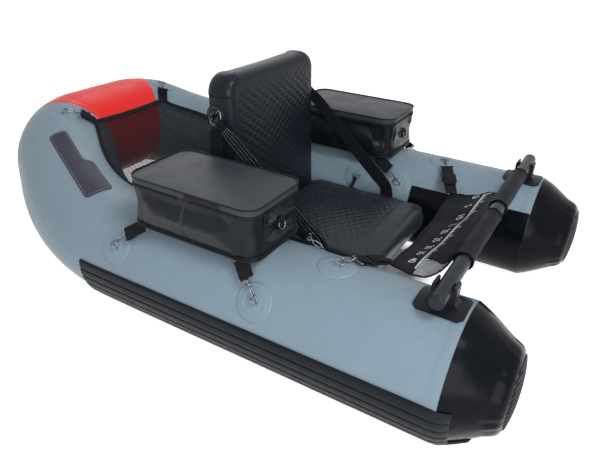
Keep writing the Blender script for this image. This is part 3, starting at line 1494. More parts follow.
def add_oval_ring(bm, eye, towards, bar):
    near = eye + towards * (HOOK_EYE_BORE - WIRE_RADIUS + SEAT_DEPTH)
    far = near + towards * OVAL_REACH
    straight = OVAL_HALF_WIDTH - 2 * WIRE_RADIUS
    middle = (near + far) / 2
    points = [
        near - bar * straight, near + bar * straight, middle + bar * OVAL_HALF_WIDTH,
        far + bar * straight, far - bar * straight, middle - bar * OVAL_HALF_WIDTH,
    ]
    add_wire(bm, rounded_path(points, 0.004, 4), WIRE_RADIUS)
    return far


def add_chain(bm, side, place, aim):
    """Ring, snap hook and oval ring in a row. Returns the webbing's seat and its directions."""
    origin, pulled, bar, outward = ring_frame(side, place)
    wire, towards, level, face = chain_frame(side, place, aim)
    add_bent_ring(bm, ring_bar(origin, outward), bar, lifted(pulled, outward, RING_LIFT_DEG))
    eye = wire + towards * (HOOK_LOOP_END + HOOK_LOOP_BORE - WIRE_RADIUS + SEAT_DEPTH)
    add_snap_hook(bm, eye, towards, level)
    far = add_oval_ring(bm, eye, towards, level)
    return far, towards, level, face


def soft_fold(wire, towards, outward, rest):
    """Webbing from the points in rest to a wire, folded tightly round it, with a sewn-down tail."""
    reach = WIRE_RADIUS + 2 * GAP + WEB_THICKNESS / 2
    fold = [wire + towards * x + outward * z for x, z in arc_xy(0, 0, reach, 100, 260, 8)]
    tail = [wire + towards * (ahead * reach) - outward * reach * down for ahead, down in ((3, 0.8), (8, 0.5))]
    return [*rest, wire + towards * (2 * reach) + outward * reach] + fold + tail


def add_corner_web(bm, stitches, seat, rest, ends=None):
    far, towards, level, face = seat
    points = soft_fold(far, towards, face, rest)
    across = [level] * len(points)
    if ends is not None:
        across[0] = ends if ends.dot(level) > 0 else -ends
    add_strap(bm, points, across, WEB_WIDTH, WEB_THICKNESS)
    top = face * (WIRE_RADIUS + GAP + WEB_THICKNESS)
    for reach in (0.009, 0.012):
        spot = far + towards * reach + top
        add_stitches(stitches, [spot - level * WEB_WIDTH * 0.42, spot + level * WEB_WIDTH * 0.42], face)


# Seat

DIAMOND_LENGTH = 0.0356
DIAMOND_WIDTH = 0.0262
DIAMOND_HEIGHT = 0.0011
CELL_STEPS = 12
SEAT_ROLL_STEPS = 12
FRONT_ROLL = 0.050
ROLL_DROP = 0.30
ROLL_REACH = 0.95
DIAMOND_MARGIN = 0.024
PAD_WAVE_SHARE = 0.0011
TOP_SEAM = 0.0014
LOW_SEAM = 0.0008
SLING_CLOTH = 0.0014
SLING_SAG = 0.002


def diamond(column, row):
    """Height share of the embossing: pillows on a diamond grid, counted in steps of a cell."""
    slopes = [abs((place / CELL_STEPS) % 1 * 2 - 1) for place in (column + row, column - row)]
    slope = 1 - max(slopes)
    return smooth_step(slope, 0.0, 0.65)


def padded_panel(half_x, half_y, thickness, crown, corner, roll=0.0):
    """An inflated seat panel: embossed crowned face, a soft seam round it, and full round sides.

    roll is the depth of a smooth band along the edge at -y, which falls away in a wide curve.
    """
    bm = bmesh.new()
    field_x, field_y = half_x - SIDE_ROLL, half_y - SIDE_ROLL
    face_z = thickness - crown
    fine_c = 2 * round(field_x / DIAMOND_LENGTH * CELL_STEPS)
    fine_r = 2 * round(field_y / DIAMOND_WIDTH * CELL_STEPS)

    def face_point(c, r):
        u, v = 2 * c / fine_c - 1, 2 * r / fine_r - 1
        x, y = square_to_outline(u, v, field_x, field_y, corner / 2, 0.0)
        if abs(u) < 1 and abs(v) < 1:
            ring = max(abs(u), abs(v))
            round_x, round_y = square_to_outline(
                u / ring, v / ring, field_x, field_y, corner / 2, 0.0) if ring else (0, 0)
            blend = smooth_step(ring, 0.75, 1.0)
            x = u * field_x * (1 - blend) + round_x * ring * blend
            y = v * field_y * (1 - blend) + round_y * ring * blend
        edge = min((1 - abs(u)) * field_x, (1 - v) * field_y, (1 + v) * field_y - roll)
        rise = DIAMOND_HEIGHT * diamond(c, r) * smooth_step(edge, DIAMOND_MARGIN * 0.3, DIAMOND_MARGIN)
        fall = max(0.0, 1 - (1 + v) * field_y / roll) if roll else 0.0
        drop = ROLL_DROP * roll * (1 - math.sqrt(1 - (fall * ROLL_REACH) ** 2))
        return Vector((x, y, face_z + crown * (1 - u ** 2) * (1 - v ** 2) + rise - drop))

    grid = [[face_point(c, r) for c in range(fine_c + 1)] for r in range(fine_r + 1)]
    verts = grid_skin(bm, grid)
    walk = edge_walk(fine_c, fine_r)
    previous = [verts[r][c] for c, r in walk]
    for k in range(1, 2 * SEAT_ROLL_STEPS + 1):
        turn = math.pi * k / (2 * SEAT_ROLL_STEPS)
        upper = turn < math.pi / 2
        out_share = min(1.0, math.sin(turn) ** (0.8 if upper else 0.6))
        height = 0.5 + 0.5 * (math.cos(turn) ** 0.75 if upper else math.cos(turn))
        grow = SIDE_ROLL * out_share
        ring = []
        for c, r in walk:
            u, v = 2 * c / fine_c - 1, 2 * r / fine_r - 1
            radius = corner / 2 + (corner / 2) * out_share
            draw = PILLOW_DRAW * out_share
            x, y = square_to_outline(u, v, field_x + grow, field_y + grow, radius, draw)
            wave = PAD_WAVE_SHARE * rough_noise(x * 13, y * 13, turn * 1.2) * math.sin(turn)
            groove = TOP_SEAM * hump(turn, 0.30, 0.05) + LOW_SEAM * hump(turn, 2.75, 0.05)
            drop = ROLL_DROP * roll * (1 - math.sqrt(1 - ROLL_REACH ** 2)) * (v == -1) * (1 - turn / math.pi)
            ring.append(bm.verts.new((
                x * (1 + wave) - math.copysign(groove, x) * (abs(u) == 1),
                y * (1 + wave) - math.copysign(groove, y) * (abs(v) == 1),
                face_z * height - groove - drop,
            )))
        for i in range(len(ring)):
            j = (i + 1) % len(ring)
            bm.faces.new((previous[i], previous[j], ring[j], ring[i]))
        previous = ring
    bm.faces.new(previous)
    return bm


def make_padded_seat():
    rear = BACK_FRONT_Y - BACK_FOOT_CLEARANCE
    half_y = (rear - SEAT_FRONT_Y) / 2
    bm = padded_panel(SEAT_HALF_WIDTH, half_y, SEAT_THICKNESS, SEAT_CROWN, SEAT_CORNER, FRONT_ROLL)
    bm.transform(Matrix.Translation((0, (rear + SEAT_FRONT_Y) / 2, SEAT_BASE_Z)))
    cushion = dress(
        "cushion_padding", bm, "cushion_vinyl", "hull", ["seat_cushion"], smooth_deg=48)
    place, half_z = back_matrix()
    bm = padded_panel(BACK_HALF_WIDTH, half_z, BACK_THICKNESS, BACK_CROWN, BACK_CORNER)
    bm.transform(place)
    back = dress("back_padding", bm, "vinyl", "seat_back", ["seat_back"], smooth_deg=48)


def make_sling_cloth():
    """The sling under the seat: level across the gap, with a flap up each tube's inner side."""
    low = math.degrees(math.asin((SLING_Z - TUBE_AXIS_Z) / TUBE_RADIUS))
    lift = PATCH_LIFT + CHAFE_THICKNESS + 2 * GAP + SLING_THICKNESS / 2
    rows = []
    for y in spread(SLING_FRONT_Y, SLING_REAR_Y, 28):
        s = station(y)
        right = [tube_point(-1, s, 180 - low - turn, lift) for turn in (SLING_FLAP_DEG, SLING_FLAP_DEG / 2)]
        left = [tube_point(1, s, 180 - low - turn, lift) for turn in (SLING_FLAP_DEG / 2, SLING_FLAP_DEG)]
        a, b = tube_point(-1, s, 180 - low, lift), tube_point(1, s, 180 - low, lift)
        shares = spread(0.0, 1.0, 24)
        middle = [a.lerp(b, share) - Z_AXIS * SLING_SAG * math.sin(math.pi * share) for share in shares]
        rows.append(right + middle + left)
    bm = skin_of(rows)
    sling = dress("sling_cloth", bm, "apron", "hull", ["seat_sling"], smooth_deg=0)
    add_thickness(sling, SLING_CLOTH)


def add_thickness(piece, thickness):
    solid = piece.modifiers.new("thickness", "SOLIDIFY")
    solid.thickness = thickness
    solid.offset = 0.0


def make_back_fittings():
    """The round patch, sewn tab and stitches on each side of the seat back."""
    patches, tabs, stitches = (bmesh.new() for k in range(3))
    for side in SIDES.values():
        origin, pulled, bar, outward = side_ring_frame(side)
        add_turned(patches, origin, outward, (
            (SIDE_PATCH_RADIUS, -SIDE_PATCH_DEPTH), (SIDE_PATCH_RADIUS, -SIDE_PATCH_THICKNESS * 0.8),
            (SIDE_PATCH_RADIUS - 0.001, -SIDE_PATCH_THICKNESS * 0.5), (SIDE_PATCH_RADIUS - 0.004, -0.0004),
            (SIDE_PATCH_RADIUS - 0.006, 0.0), (0.001, 0.0),
        ), 44)
        add_soft_tab(tabs, stitches, origin, pulled, bar, outward)
        u = outward.orthogonal().normalized()
        v = outward.cross(u)
        ring = disc_points(origin + outward * 0.0001, u, v, SIDE_PATCH_RADIUS - 0.0065, 40)
        add_stitches(stitches, ring + [ring[0]], outward)
    dress("back_side_patches", patches, "vinyl", "seat_back", ["seat_back"], smooth_deg=50)
    dress("back_side_tabs", tabs, "webbing", "seat_back", ["seat_back"], smooth_deg=50)
    dress("back_side_stitches", stitches, "light_thread", "seat_back")


def make_side_ring_wire(side, name):
    origin, pulled, bar, outward = side_ring_frame(side)
    bm = bmesh.new()
    reach_dir = lifted(pulled, outward, SIDE_RING_LIFT_DEG)
    add_bent_ring(bm, ring_bar(origin, outward), bar, reach_dir, SIDE_RING_HALF_WIDTH, SIDE_RING_REACH)
    dress(f"{name}_seat_ring_wire", bm, "steel", "seat_back", [f"{name}_seat_ring"], smooth_deg=0)


def make_seat_webbing(side, name):
    """The front strap from the back's ring to the tube's inner side, its seams, and the rear stay."""
    foot_x = side * STRAP_FOOT_X
    wire = side_wire(side)
    corner = Vector((foot_x, STRAP_FOOT_Y, STRAP_FOOT_Z))
    foot = Vector((foot_x, STRAP_FOOT_Y - STRAP_FOOT_RUN, SEAT_BASE_Z))
    towards = (corner - wire).normalized()
    wide = (X_AXIS - towards * towards.x).cross(towards).normalized()
    face = wide.cross(towards).normalized()
    if face.x * side < 0:
        face = -face
    key = [foot, foot.lerp(corner, 0.5), corner]
    key += [corner.lerp(wire, share) for share in (0.12, 0.3, 0.5, 0.7, 0.85)]
    reach = WIRE_RADIUS + 2 * GAP + WEB_THICKNESS / 2
    line = smooth_line(key + [wire + towards * (2.5 * reach) + face * reach], 5)
    fold = [wire + towards * x + face * z for x, z in arc_xy(0, 0, reach, 100, 260, 8)]
    tail = [wire + towards * (3 * reach) - face * reach, wire + towards * 0.055 - face * reach * 0.9]
    points = line + fold + tail
    widths = []
    for point in points:
        near = smooth_step((point - wire).length, 0.010, 0.075)
        widths.append(SEAT_WEB_NECK + (SEAT_WEB_WIDTH - SEAT_WEB_NECK) * near)
    low = Y_AXIS if wide.y > 0 else -Y_AXIS
    across = []
    for k, point in enumerate(points):
        share = smooth_step(k / len(line), 0.05, 0.35)
        across.append((low * (1 - share) + wide * share).normalized())
    bm, lines = bmesh.new(), bmesh.new()
    add_strap(bm, points, across, widths, WEB_THICKNESS)
    strap = dress(
        f"{name}_front_web", bm, "webbing", None, [f"{name}_front_strap"], smooth_deg=50)
    for share in (-0.40, -0.13, 0.13, 0.40):
        row, lifts = [], []
        for k in range(8, len(line) - 2):
            tangent = (line[k + 1] - line[k - 1]).normalized()
            lift = tangent.cross(across[k]).normalized()
            if lift.x * side < 0:
                lift = -lift
            row.append(line[k] + across[k] * widths[k] * share + lift * WEB_THICKNESS * 0.5)
            lifts.append(lift)
        add_stitches(lines, row, lifts, 0.005, 0.0012, 0.00045)
    seams = dress(f"{name}_front_web_seams", lines, "light_thread", None)
    for piece in (strap, seams):
        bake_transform(piece)
    head_x = side * (BACK_HALF_WIDTH + STAY_CLEARANCE)
    head_y = BACK_FRONT_Y + BACK_THICKNESS * STRAP_RING_DEPTH_SHARE
    head = back_point(head_x, head_y, STRAP_RING_Z - STAY_DROP)
    rear = Vector((side * STAY_FOOT_X, STAY_FOOT_Y, SEAT_BASE_Z))
    stay_line = smooth_line([head, head.lerp(rear, 0.33), head.lerp(rear, 0.66), rear], 6)
    bm = bmesh.new()
    add_strap(bm, stay_line, Y_AXIS, SEAT_WEB_WIDTH, WEB_THICKNESS)
    stay = dress(f"{name}_rear_web", bm, "webbing", None, [f"{name}_rear_strap"], smooth_deg=50)
    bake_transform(stay)


def make_tether_web(side, name, place):
    """The narrow tether of the seat, folded round its ring on the tube."""
    origin, pulled, bar, outward = ring_frame(side, place)
    reach_dir = lifted(pulled, outward, RING_LIFT_DEG)
    ring, web = bmesh.new(), bmesh.new()
    add_bent_ring(ring, ring_bar(origin, outward), bar, reach_dir)
    wire = ring_bar(origin, outward) + reach_dir * RING_REACH
    x = side * (SEAT_HALF_WIDTH + WEB_THICKNESS)
    bend = Vector((x, wire.y, TETHER_TOP_Z))
    path = rounded_path([wire, bend, bend - Z_AXIS * TETHER_DROP], 0.012, 6, closed=False)
    add_strap(web, path, Y_AXIS, TETHER_WIDTH, WEB_THICKNESS)
    away = (bend - wire).normalized() * -0.003
    turns = [math.pi * k / 8 for k in range(-3, 12)]
    fold = [wire + Z_AXIS * (WIRE_RADIUS + 0.001) * math.sin(turn) + away * math.cos(turn) for turn in turns]
    add_strap(web, fold, Y_AXIS, TETHER_WIDTH, WEB_THICKNESS * 0.8)
    node = f"{name}_seat_tether"
    dress(f"{name}_tether_ring", ring, "steel", "hull", [node], smooth_deg=0)
    dress(f"{name}_tether_web", web, "webbing", "hull", [node], smooth_deg=50)


# Net over the bow well

NET_COLUMNS = 96
NET_ROWS = 76
STRAND_SHARE = 0.46
NET_RIPPLE = 0.0015


def middle_run(point, steps=20):
    """Length of a cloth from front to rear along its middle; point gives its places."""
    return sum((point(0, (k + 1) / steps) - point(0, k / steps)).length for k in range(steps))


def make_net():
    """A fine net: square openings between flat strands, sagging from its bound edge."""
    bm = bmesh.new()
    inset = HEM_WIDTH * 0.25

    def at(c, r):
        u = 2 * c / NET_COLUMNS - 1
        v = 0.004 + 0.992 * r / NET_ROWS
        ripple = NET_RIPPLE * math.sin(u * 21) * math.sin(v * 17 + u * 3) * (1 - u * u) * (1 - v)
        return mesh_point(u, v, inset) + Z_AXIS * ripple

    nodes = [[bm.verts.new(at(c, r)) for c in range(NET_COLUMNS + 1)] for r in range(NET_ROWS + 1)]
    for r in range(NET_ROWS):
        for c in range(NET_COLUMNS):
            corners = [nodes[r][c], nodes[r][c + 1], nodes[r + 1][c + 1], nodes[r + 1][c]]
            middle = sum((vert.co for vert in corners), Vector()) / 4
            hole = [bm.verts.new(vert.co.lerp(middle, STRAND_SHARE)) for vert in corners]
            for i in range(4):
                j = (i + 1) % 4
                bm.faces.new((corners[i], corners[j], hole[j], hole[i]))
    area = sum(face.calc_area() for face in bm.faces)
    width = (mesh_point(1, 0.5) - mesh_point(-1, 0.5)).length
    length = middle_run(mesh_point)
    net = dress("net_cloth_panel", bm, "net", "hull", ["mesh_panel"], smooth_deg=0)


def hem_loop(steps):
    """Points of the net's bound edge with its width and face directions, all the way round."""
    lift = HEM_LIFT + HEM_THICKNESS / 2
    shares = spread(0.0, 1.0, steps)
    found = []
    for side, edge, inner in ((-1, 1.0, 0.9), (1, 0.0, 0.1)):
        for share in shares[::-side]:
            place = mesh_side(side, share)
            found.append((tube_point(*place, lift), tube_axes(*place)[1:]))
        for share in shares[1:-1]:
            found.append(hem_stop(side * (1 - 2 * share), edge, inner))
    return found


def make_hem(webs, stitches):
    """The net's bound edge with its seam; the webs and stitches of its rear corners go with it."""
    rings, seam, lifts = [], [], []
    for point, (wide, face) in hem_loop(24):
        ring = []
        for turn in turns_round(12):
            x = math.copysign(abs(math.cos(turn)) ** 0.6, math.cos(turn)) * HEM_WIDTH / 2
            z = math.sin(turn) * HEM_THICKNESS / 2
            ring.append(point + wide * x + face * z)
        rings.append(ring)
        seam.append(point + wide * HEM_WIDTH * 0.28 + face * HEM_THICKNESS * 0.48)
        lifts.append(face)
    bm = skin_of(rings, around=True, loop=True)
    dress("net_hem", bm, "webbing", "hull", ["mesh_hem"], smooth_deg=0)
    add_stitch_loop(stitches, seam, lifts, 0.004)
    dress("net_hem_webs", webs, "webbing", "hull", ["mesh_hem"], smooth_deg=50)
    dress("net_stitches", stitches, "thread", "hull")


# Bags

BAG_SIDE_STEPS = 32
BAG_CORNER_STEPS = 8
LONG_RIDGE = 0.0150
SHORT_RIDGE = 0.0060
WALL_SWELL = 0.0012
WALL_HOLLOW = 0.0055
CORNER_DRAW = 0.0055
WALL_FOLD = 0.0026
WALL_GATHER = 0.0045
LID_DENT = 0.0030
LID_SINK = 0.0012
LID_TOP_SHARE = 1 - 0.003
LADDER_OFFSET = 0.008
LADDER_FOOT_SHARE = 0.10
LADDER_TOP_SHARE = 0.88
LADDER_RUNGS = 25
FLAP_OFFSET = -0.052
FLAP_HALF = 0.055
WALL_SHARES = (0.0, 0.012) + tuple(k / 22 for k in range(1, 22)) + (0.985, 1.0)
LINING_SHARES = (1.0, 0.8, 0.5, 0.2, 0.04)
LID_RINGS = (1.0, 0.985, 0.96, 0.92, 0.86, 0.78, 0.68, 0.56, 0.42, 0.28, 0.14, 0.05)
TOOTH_PITCH = 0.0026


def bag_walk(side, inset=0.0):
    """Points round a bag's outline: place, outward direction, which wall, and x and y from -1 to 1."""
    half_x = (BAG_OUTER_X - BAG_INNER_X) / 2 - inset
    half_y = BAG_LENGTH / 2 - inset
    radius = max(0.004, BAG_CORNER - inset)
    centre = bag_centre(side)
    found = []
    corners = ((1, 1, 0), (-1, 1, 90), (-1, -1, 180), (1, -1, 270))
    for k, (sx, sy, start) in enumerate(corners):
        cx, cy = sx * (half_x - radius), sy * (half_y - radius)
        for x, y in arc_xy(cx, cy, radius, start, start + 90, BAG_CORNER_STEPS):
            out = Vector((x - cx, y - cy, 0)).normalized()
            found.append((centre + Vector((x, y, 0)), out, "corner", (x / half_x, y / half_y)))
        nx, ny = corners[(k + 1) % 4][:2]
        ax, ay = found[-1][0].x - centre.x, found[-1][0].y - centre.y
        turn = math.radians(start + 90)
        out = Vector((math.cos(turn), math.sin(turn), 0))
        bx = nx * (half_x - radius) + radius * math.cos(turn)
        by = ny * (half_y - radius) + radius * math.sin(turn)
        wall = "long" if out.x else "short"
        for m in range(1, BAG_SIDE_STEPS):
            share = m / BAG_SIDE_STEPS
            x, y = ax + (bx - ax) * share, ay + (by - ay) * share
            found.append((centre + Vector((x, y, 0)), out, wall, (x / half_x, y / half_y)))
    return found


def bag_wall_shift(side, spot, height):
    """How far the slack cloth of a bag's wall stands out at a height share from floor to rim.

    A blunt ridge along each wall, a hollow under the rim, and gathers towards the drawn-in corners.
    """
    place, wall, (u, v) = spot[0], spot[2], spot[3]
    seed = 3.1 * side
    full = math.sin(math.pi * min(1.0, height))
    shift = WALL_SWELL * rough_noise(place.x * 17 + seed, place.y * 17, height * 2)
    if wall == "corner":
        return shift * 0.5 - CORNER_DRAW * hump(height, 0.52, 0.27)
    a, ridge_height = (v, LONG_RIDGE) if wall == "long" else (u, SHORT_RIDGE)
    ridge = 1 - max(abs(height - 0.45) / 0.55, (abs(a) - 0.45) / 0.50)
    shift += ridge_height * max(0.0, ridge)
    shift -= WALL_HOLLOW * hump(height, 0.80, 0.15) * (1 - min(1.0, abs(a)) ** 4)
    folds = math.sin(46 * a + 9 * height + seed) * smooth_step(abs(a), 0.60, 0.85) * hump(height, 0.40, 0.30)
    gather = hump(abs(a) - 0.98 + 0.5 * height, 0.0, 0.06) * full
    return shift + (WALL_FOLD * folds - WALL_GATHER * gather)


def make_bag(side, name):
    """A bag's slack walls with their lining, then its trim, lid and zip."""
    floor, lip = BAG_FLOOR_Z, BAG_LIP_Z
    walk = bag_walk(side)
    rows = []
    for share in WALL_SHARES:
        z = floor + (lip - floor) * share
        tuck = 0.0022 * hump(share, 0.0, 0.05) + 0.0012 * hump(share, 1.0, 0.04)
        rows.append([
            spot[0] + spot[1] * (bag_wall_shift(side, spot, share) * min(1.0, 12 * share) - tuck) + Z_AXIS * z
            for spot in walk
        ])
    for share in LINING_SHARES:
        z = floor + BAG_WALL + (lip - floor - BAG_WALL) * share
        loose = 0 if share in (LINING_SHARES[0], LINING_SHARES[-1]) else 1
        rows.append([
            spot[0] + spot[1] * bag_wall_shift(side, spot, share) * loose + Z_AXIS * z
            for spot in bag_walk(side, BAG_WALL)
        ])
    bm = bmesh.new()
    verts = grid_skin(bm, rows, around=True)
    bm.faces.new(list(reversed(verts[0])))
    bm.faces.new(verts[-1])
    dress(f"{name}_bag_body", bm, "bag_side", "hull", [f"{name}_bag_shell"], smooth_deg=62)
    make_bag_trim(side, name)
    make_lid(side, name, walk)
    make_zip(side, name)


def offset_loop(side, z, grow):
    return [spot[0] + spot[1] * grow + Z_AXIS * z for spot in bag_walk(side)]


def make_bag_trim(side, name):
    """A bag's bead, the ladder of stitching on its outer wall, the front tab on its boss, and the seams."""
    floor, lip = BAG_FLOOR_Z, BAG_LIP_Z
    beads, ladder, stitches, tab = (bmesh.new() for k in range(4))
    add_wire(beads, offset_loop(side, floor + 0.0028, 0.0010), 0.0020, sides=8)
    dress(f"{name}_bag_beads", beads, "bag_dark", "hull", smooth_deg=0)
    outer = side * BAG_OUTER_X
    y = bag_centre(side).y + LADDER_OFFSET
    out = X_AXIS * side
    spot = (Vector((outer, y, 0)), out, "long", (0.0, (y - bag_centre(side).y) / (BAG_LENGTH / 2)))
    run = []
    for share in spread(LADDER_FOOT_SHARE, LADDER_TOP_SHARE, LADDER_RUNGS):
        z = floor + (lip - floor) * share
        run.append(Vector((outer, y, z)) + out * (bag_wall_shift(side, spot, share) + 0.0004))
    for a, b in zip(run, run[1:]):
        middle = (a + b) / 2
        up = (b - a).normalized()
        bar_box(ladder, middle, out, Y_AXIS * side, up, (0.0008, 0.0042, 0.0008), 0.0004)
    dress(f"{name}_bag_ladder", ladder, "thread", "hull", smooth_deg=0)
    origin, pulled, bar, outward = bag_ring_frame(side)
    add_soft_tab(tab, stitches, origin, pulled, bar, outward)
    boss = bmesh.new()
    add_turned(boss, origin - Z_AXIS * 0.006, outward, (
        (0.0175, -0.004), (0.0175, 0.0004), (0.0165, 0.0014), (0.0140, 0.0016), (0.0130, 0.0009),
        (0.001, 0.0009),
    ), 36)
    dress(f"{name}_bag_ring_boss", boss, "bag_dark", "hull", smooth_deg=40)
    dress(f"{name}_bag_front_tab", tab, "webbing", "hull", [f"{name}_bag_shell"], smooth_deg=50)
    for level in (floor + 0.0075, lip - 0.004):
        share = (level - floor) / (lip - floor)
        row, lifts = [], []
        for spot in bag_walk(side):
            shift = bag_wall_shift(side, spot, share) * min(1.0, 12 * share)
            row.append(spot[0] + spot[1] * (shift - 0.0002) + Z_AXIS * level)
            lifts.append(spot[1])
        add_stitch_loop(stitches, row, lifts)
    dress(f"{name}_bag_stitches", stitches, "thread", "hull")


def make_lid(side, name, walk):
    """The lid's skirt and crowned top, its piping and stitches, and the flap over the outer wall's zip."""
    rim, edge, bead = BAG_RIM_Z, LID_EDGE_Z, LID_PIPING_RADIUS
    body = f"{name}_lid"
    centre = bag_centre(side)
    profile = [(-BAG_WALL, edge - BAG_WALL), (-BAG_WALL, rim), (-0.0004, rim), (0.0, rim + 0.0006)]
    profile += [(0.0, rim + (edge - rim) * share) for share in (0.2, 0.4, 0.6, 0.8)]
    profile.append((-0.0004, edge - bead))
    rows = [[spot[0] + spot[1] * grow + Z_AXIS * z for spot in walk] for grow, z in profile]
    for k in LID_RINGS:
        ring = []
        for spot in walk:
            place = centre + (spot[0] - centre) * k * LID_TOP_SHARE
            rise = LID_CROWN * (1 - k ** 2.4)
            dent = LID_DENT * rough_noise(place.x * 7 + side, place.y * 7, 1.5)
            dent *= smooth_step(1 - k, 0.02, 0.25)
            ring.append(Vector((place.x, place.y, edge - bead * 0.4 + rise + dent - LID_SINK)))
        rows.append(ring)
    bm = bmesh.new()
    verts = grid_skin(bm, rows, around=True)
    bm.faces.new(verts[-1])
    inner_roof = [bm.verts.new(spot[0] - spot[1] * BAG_WALL + Z_AXIS * (edge - BAG_WALL)) for spot in walk]
    bm.faces.new(inner_roof)
    dress(f"{name}_lid_cloth", bm, "bag", body, [f"{name}_bag_lid"], smooth_deg=55)
    beads = bmesh.new()
    add_wire(beads, offset_loop(side, edge - bead * 0.3, 0.0004), bead, sides=10)
    dress(f"{name}_lid_piping", beads, "bag_dark", body, smooth_deg=0)
    stitches = bmesh.new()
    for z in (edge - 2.6 * bead, rim + 0.0035):
        add_stitch_loop(stitches, offset_loop(side, z, 0.0001), [spot[1] for spot in walk])
    dress(f"{name}_lid_stitches", stitches, "thread", body)
    middle = centre.y + FLAP_OFFSET
    stops = spread(middle - FLAP_HALF, middle + FLAP_HALF, 8)
    flap = skin_of([
        [Vector((side * (BAG_OUTER_X + x), y, rim + z)) for y in stops]
        for x, z in ((0.0, 0.001), (0.0014, 0.0015), (0.0014, 0.013), (0.0, 0.0135))
    ])
    dress(f"{name}_lid_flap", flap, "bag_dark", body, smooth_deg=50)


def make_zip(side, name):
    """Zip tape under the lid's skirt, all round but for a gap on the outer wall, with teeth and sliders."""
    z = BAG_RIM_Z - GAP - ZIP_WIDTH / 2
    centre = bag_centre(side)
    walk = bag_walk(side)
    start = next(
        i for i, spot in enumerate(walk)
        if spot[2] == "long" and (spot[0].x - centre.x) * side > 0 and abs(spot[0].y - centre.y) < 0.012
    )
    path = walk[start + 2:] + walk[:start - 1]
    tape, teeth, slider = bmesh.new(), bmesh.new(), bmesh.new()
    line = [spot[0] + spot[1] * (GAP + ZIP_THICKNESS / 2) + Z_AXIS * z for spot in path]
    add_strap(tape, line, Z_AXIS, ZIP_WIDTH, ZIP_THICKNESS)
    for a, b, spot in zip(line, line[1:], path):
        count = max(1, round((b - a).length / TOOTH_PITCH))
        for k in range(count):
            place = a.lerp(b, (k + 0.5) / count) + spot[1] * (ZIP_THICKNESS / 2 + 0.0003)
            add_tooth(teeth, place, (b - a).normalized(), spot[1])
    for pivot in pull_pivots(side):
        middle = pivot + Z_AXIS * (SLIDER_SIZE / 2 + 3 * GAP)
        halves = (SLIDER_SIZE / 2, SLIDER_DEPTH / 2, SLIDER_SIZE / 2)
        bar_box(slider, middle, X_AXIS, Y_AXIS, Z_AXIS, halves, 0.0012)
        bridge = middle - Y_AXIS * SLIDER_DEPTH * 0.55
        bar_box(slider, bridge, X_AXIS, Y_AXIS, Z_AXIS, (0.0012, 0.0012, 0.0026), 0.0006)
    node = f"{name}_bag_zip"
    dress(f"{name}_zip_tape", tape, "bag_dark", "hull", [node], smooth_deg=50)
    dress(f"{name}_zip_teeth", teeth, "plastic", "hull", [node], smooth_deg=0)
    dress(f"{name}_zip_sliders", slider, "plastic", "hull", [node], smooth_deg=40)
    for which, pivot in zip(("outer", "inner"), pull_pivots(side)):
        make_pull(name, which, pivot)


def add_tooth(bm, place, tangent, outward):
    """One zip tooth: a small block that narrows outwards."""
    side = tangent * 0.0008
    up = Z_AXIS * 0.0020
    lift = outward * 0.0006
    corners = ((1, 1), (-1, 1), (-1, -1), (1, -1))
    ring = [bm.verts.new(place + side * a + up * b) for a, b in corners]
    top = [bm.verts.new(place + side * a * 0.6 + up * b * 0.8 + lift) for a, b in corners]
    bm.faces.new(top)
    for i in range(4):
        bm.faces.new((ring[i], ring[(i + 1) % 4], top[(i + 1) % 4], top[i]))


def make_pull(name, which, pivot):
    """A moulded puller: a rounded plate with raised grip bars."""
    half = PULL_WIDTH / 2
    outline = arc_xy(0, -half, half, 0, 180, 8) + arc_xy(0, half - PULL_LENGTH, half, 180, 360, 8)
    place = frame_matrix(pivot, X_AXIS, Z_AXIS, -Y_AXIS)
    levels = ((0.72, -0.5), (0.94, -0.38), (1.0, -0.1), (1.0, 0.1), (0.94, 0.38), (0.72, 0.5))
    rows = []
    for scale, height in levels:
        ring = []
        for x, y in outline:
            near = -half if y > -PULL_LENGTH / 2 else half - PULL_LENGTH
            flat = Vector((x * scale, near + (y - near) * scale, height * PULL_THICKNESS))
            ring.append(place @ flat)
        rows.append(ring)
    bm = skin_of(rows, around=True, ends=True)
    for k in range(5):
        y = -PULL_LENGTH * (0.38 + 0.10 * k)
        spot = place @ Vector((0, y, PULL_THICKNESS * 0.5))
        bar_box(bm, spot, X_AXIS, Z_AXIS, -Y_AXIS, (half * 0.62, 0.0006, 0.0004), 0.0002)
    node = f"{name}_{which}_zip_pull"
    dress(f"{node}_grip", bm, "plastic", f"{name}_{which}_pull", [node], smooth_deg=40)


def make_bag_base(side, name, seats):
    """The stiff base under a bag with a rounded edge, and the webs from its corners to the clips."""
    rows = []
    lip = BAG_FOOT_LIP
    for share in spread(0.0, 1.0, 10):
        turn = math.pi * (share - 0.5)
        grow = lip * (2 * max(0.0, math.cos(turn)) ** 0.5 - 1) if abs(turn) < 1.57 else -lip
        z = BAG_FOOT_Z + BAG_FOOT_THICKNESS * share
        rows.append([spot[0] + spot[1] * grow + Z_AXIS * z for spot in bag_walk(side)])
    bm = skin_of(rows, around=True, ends=True)
    node = f"{name}_bag_foot"
    dress(f"{name}_bag_base", bm, "bag_dark", "hull", [node], smooth_deg=60)
    webs, stitches = bmesh.new(), bmesh.new()
    for place, seat in seats:
        add_corner_web(webs, stitches, seat, [bag_corner(side, place)], Y_AXIS)
    dress(f"{name}_bag_webs", webs, "webbing", "hull", [node], smooth_deg=50)
    dress(f"{name}_web_stitches", stitches, "thread", "hull")


def make_free_ring(side, name):
    """The loose ring on the bag's front wall."""
    origin, pulled, bar, outward = bag_ring_frame(side)
    bm = bmesh.new()
    add_bent_ring(bm, ring_bar(origin, outward), bar, lifted(pulled, outward, RING_LIFT_DEG / 2))
    dress(f"{name}_bag_ring_wire", bm, "steel", f"{name}_ring", [f"{name}_bag_ring"], smooth_deg=0)


# Cross bar and apron

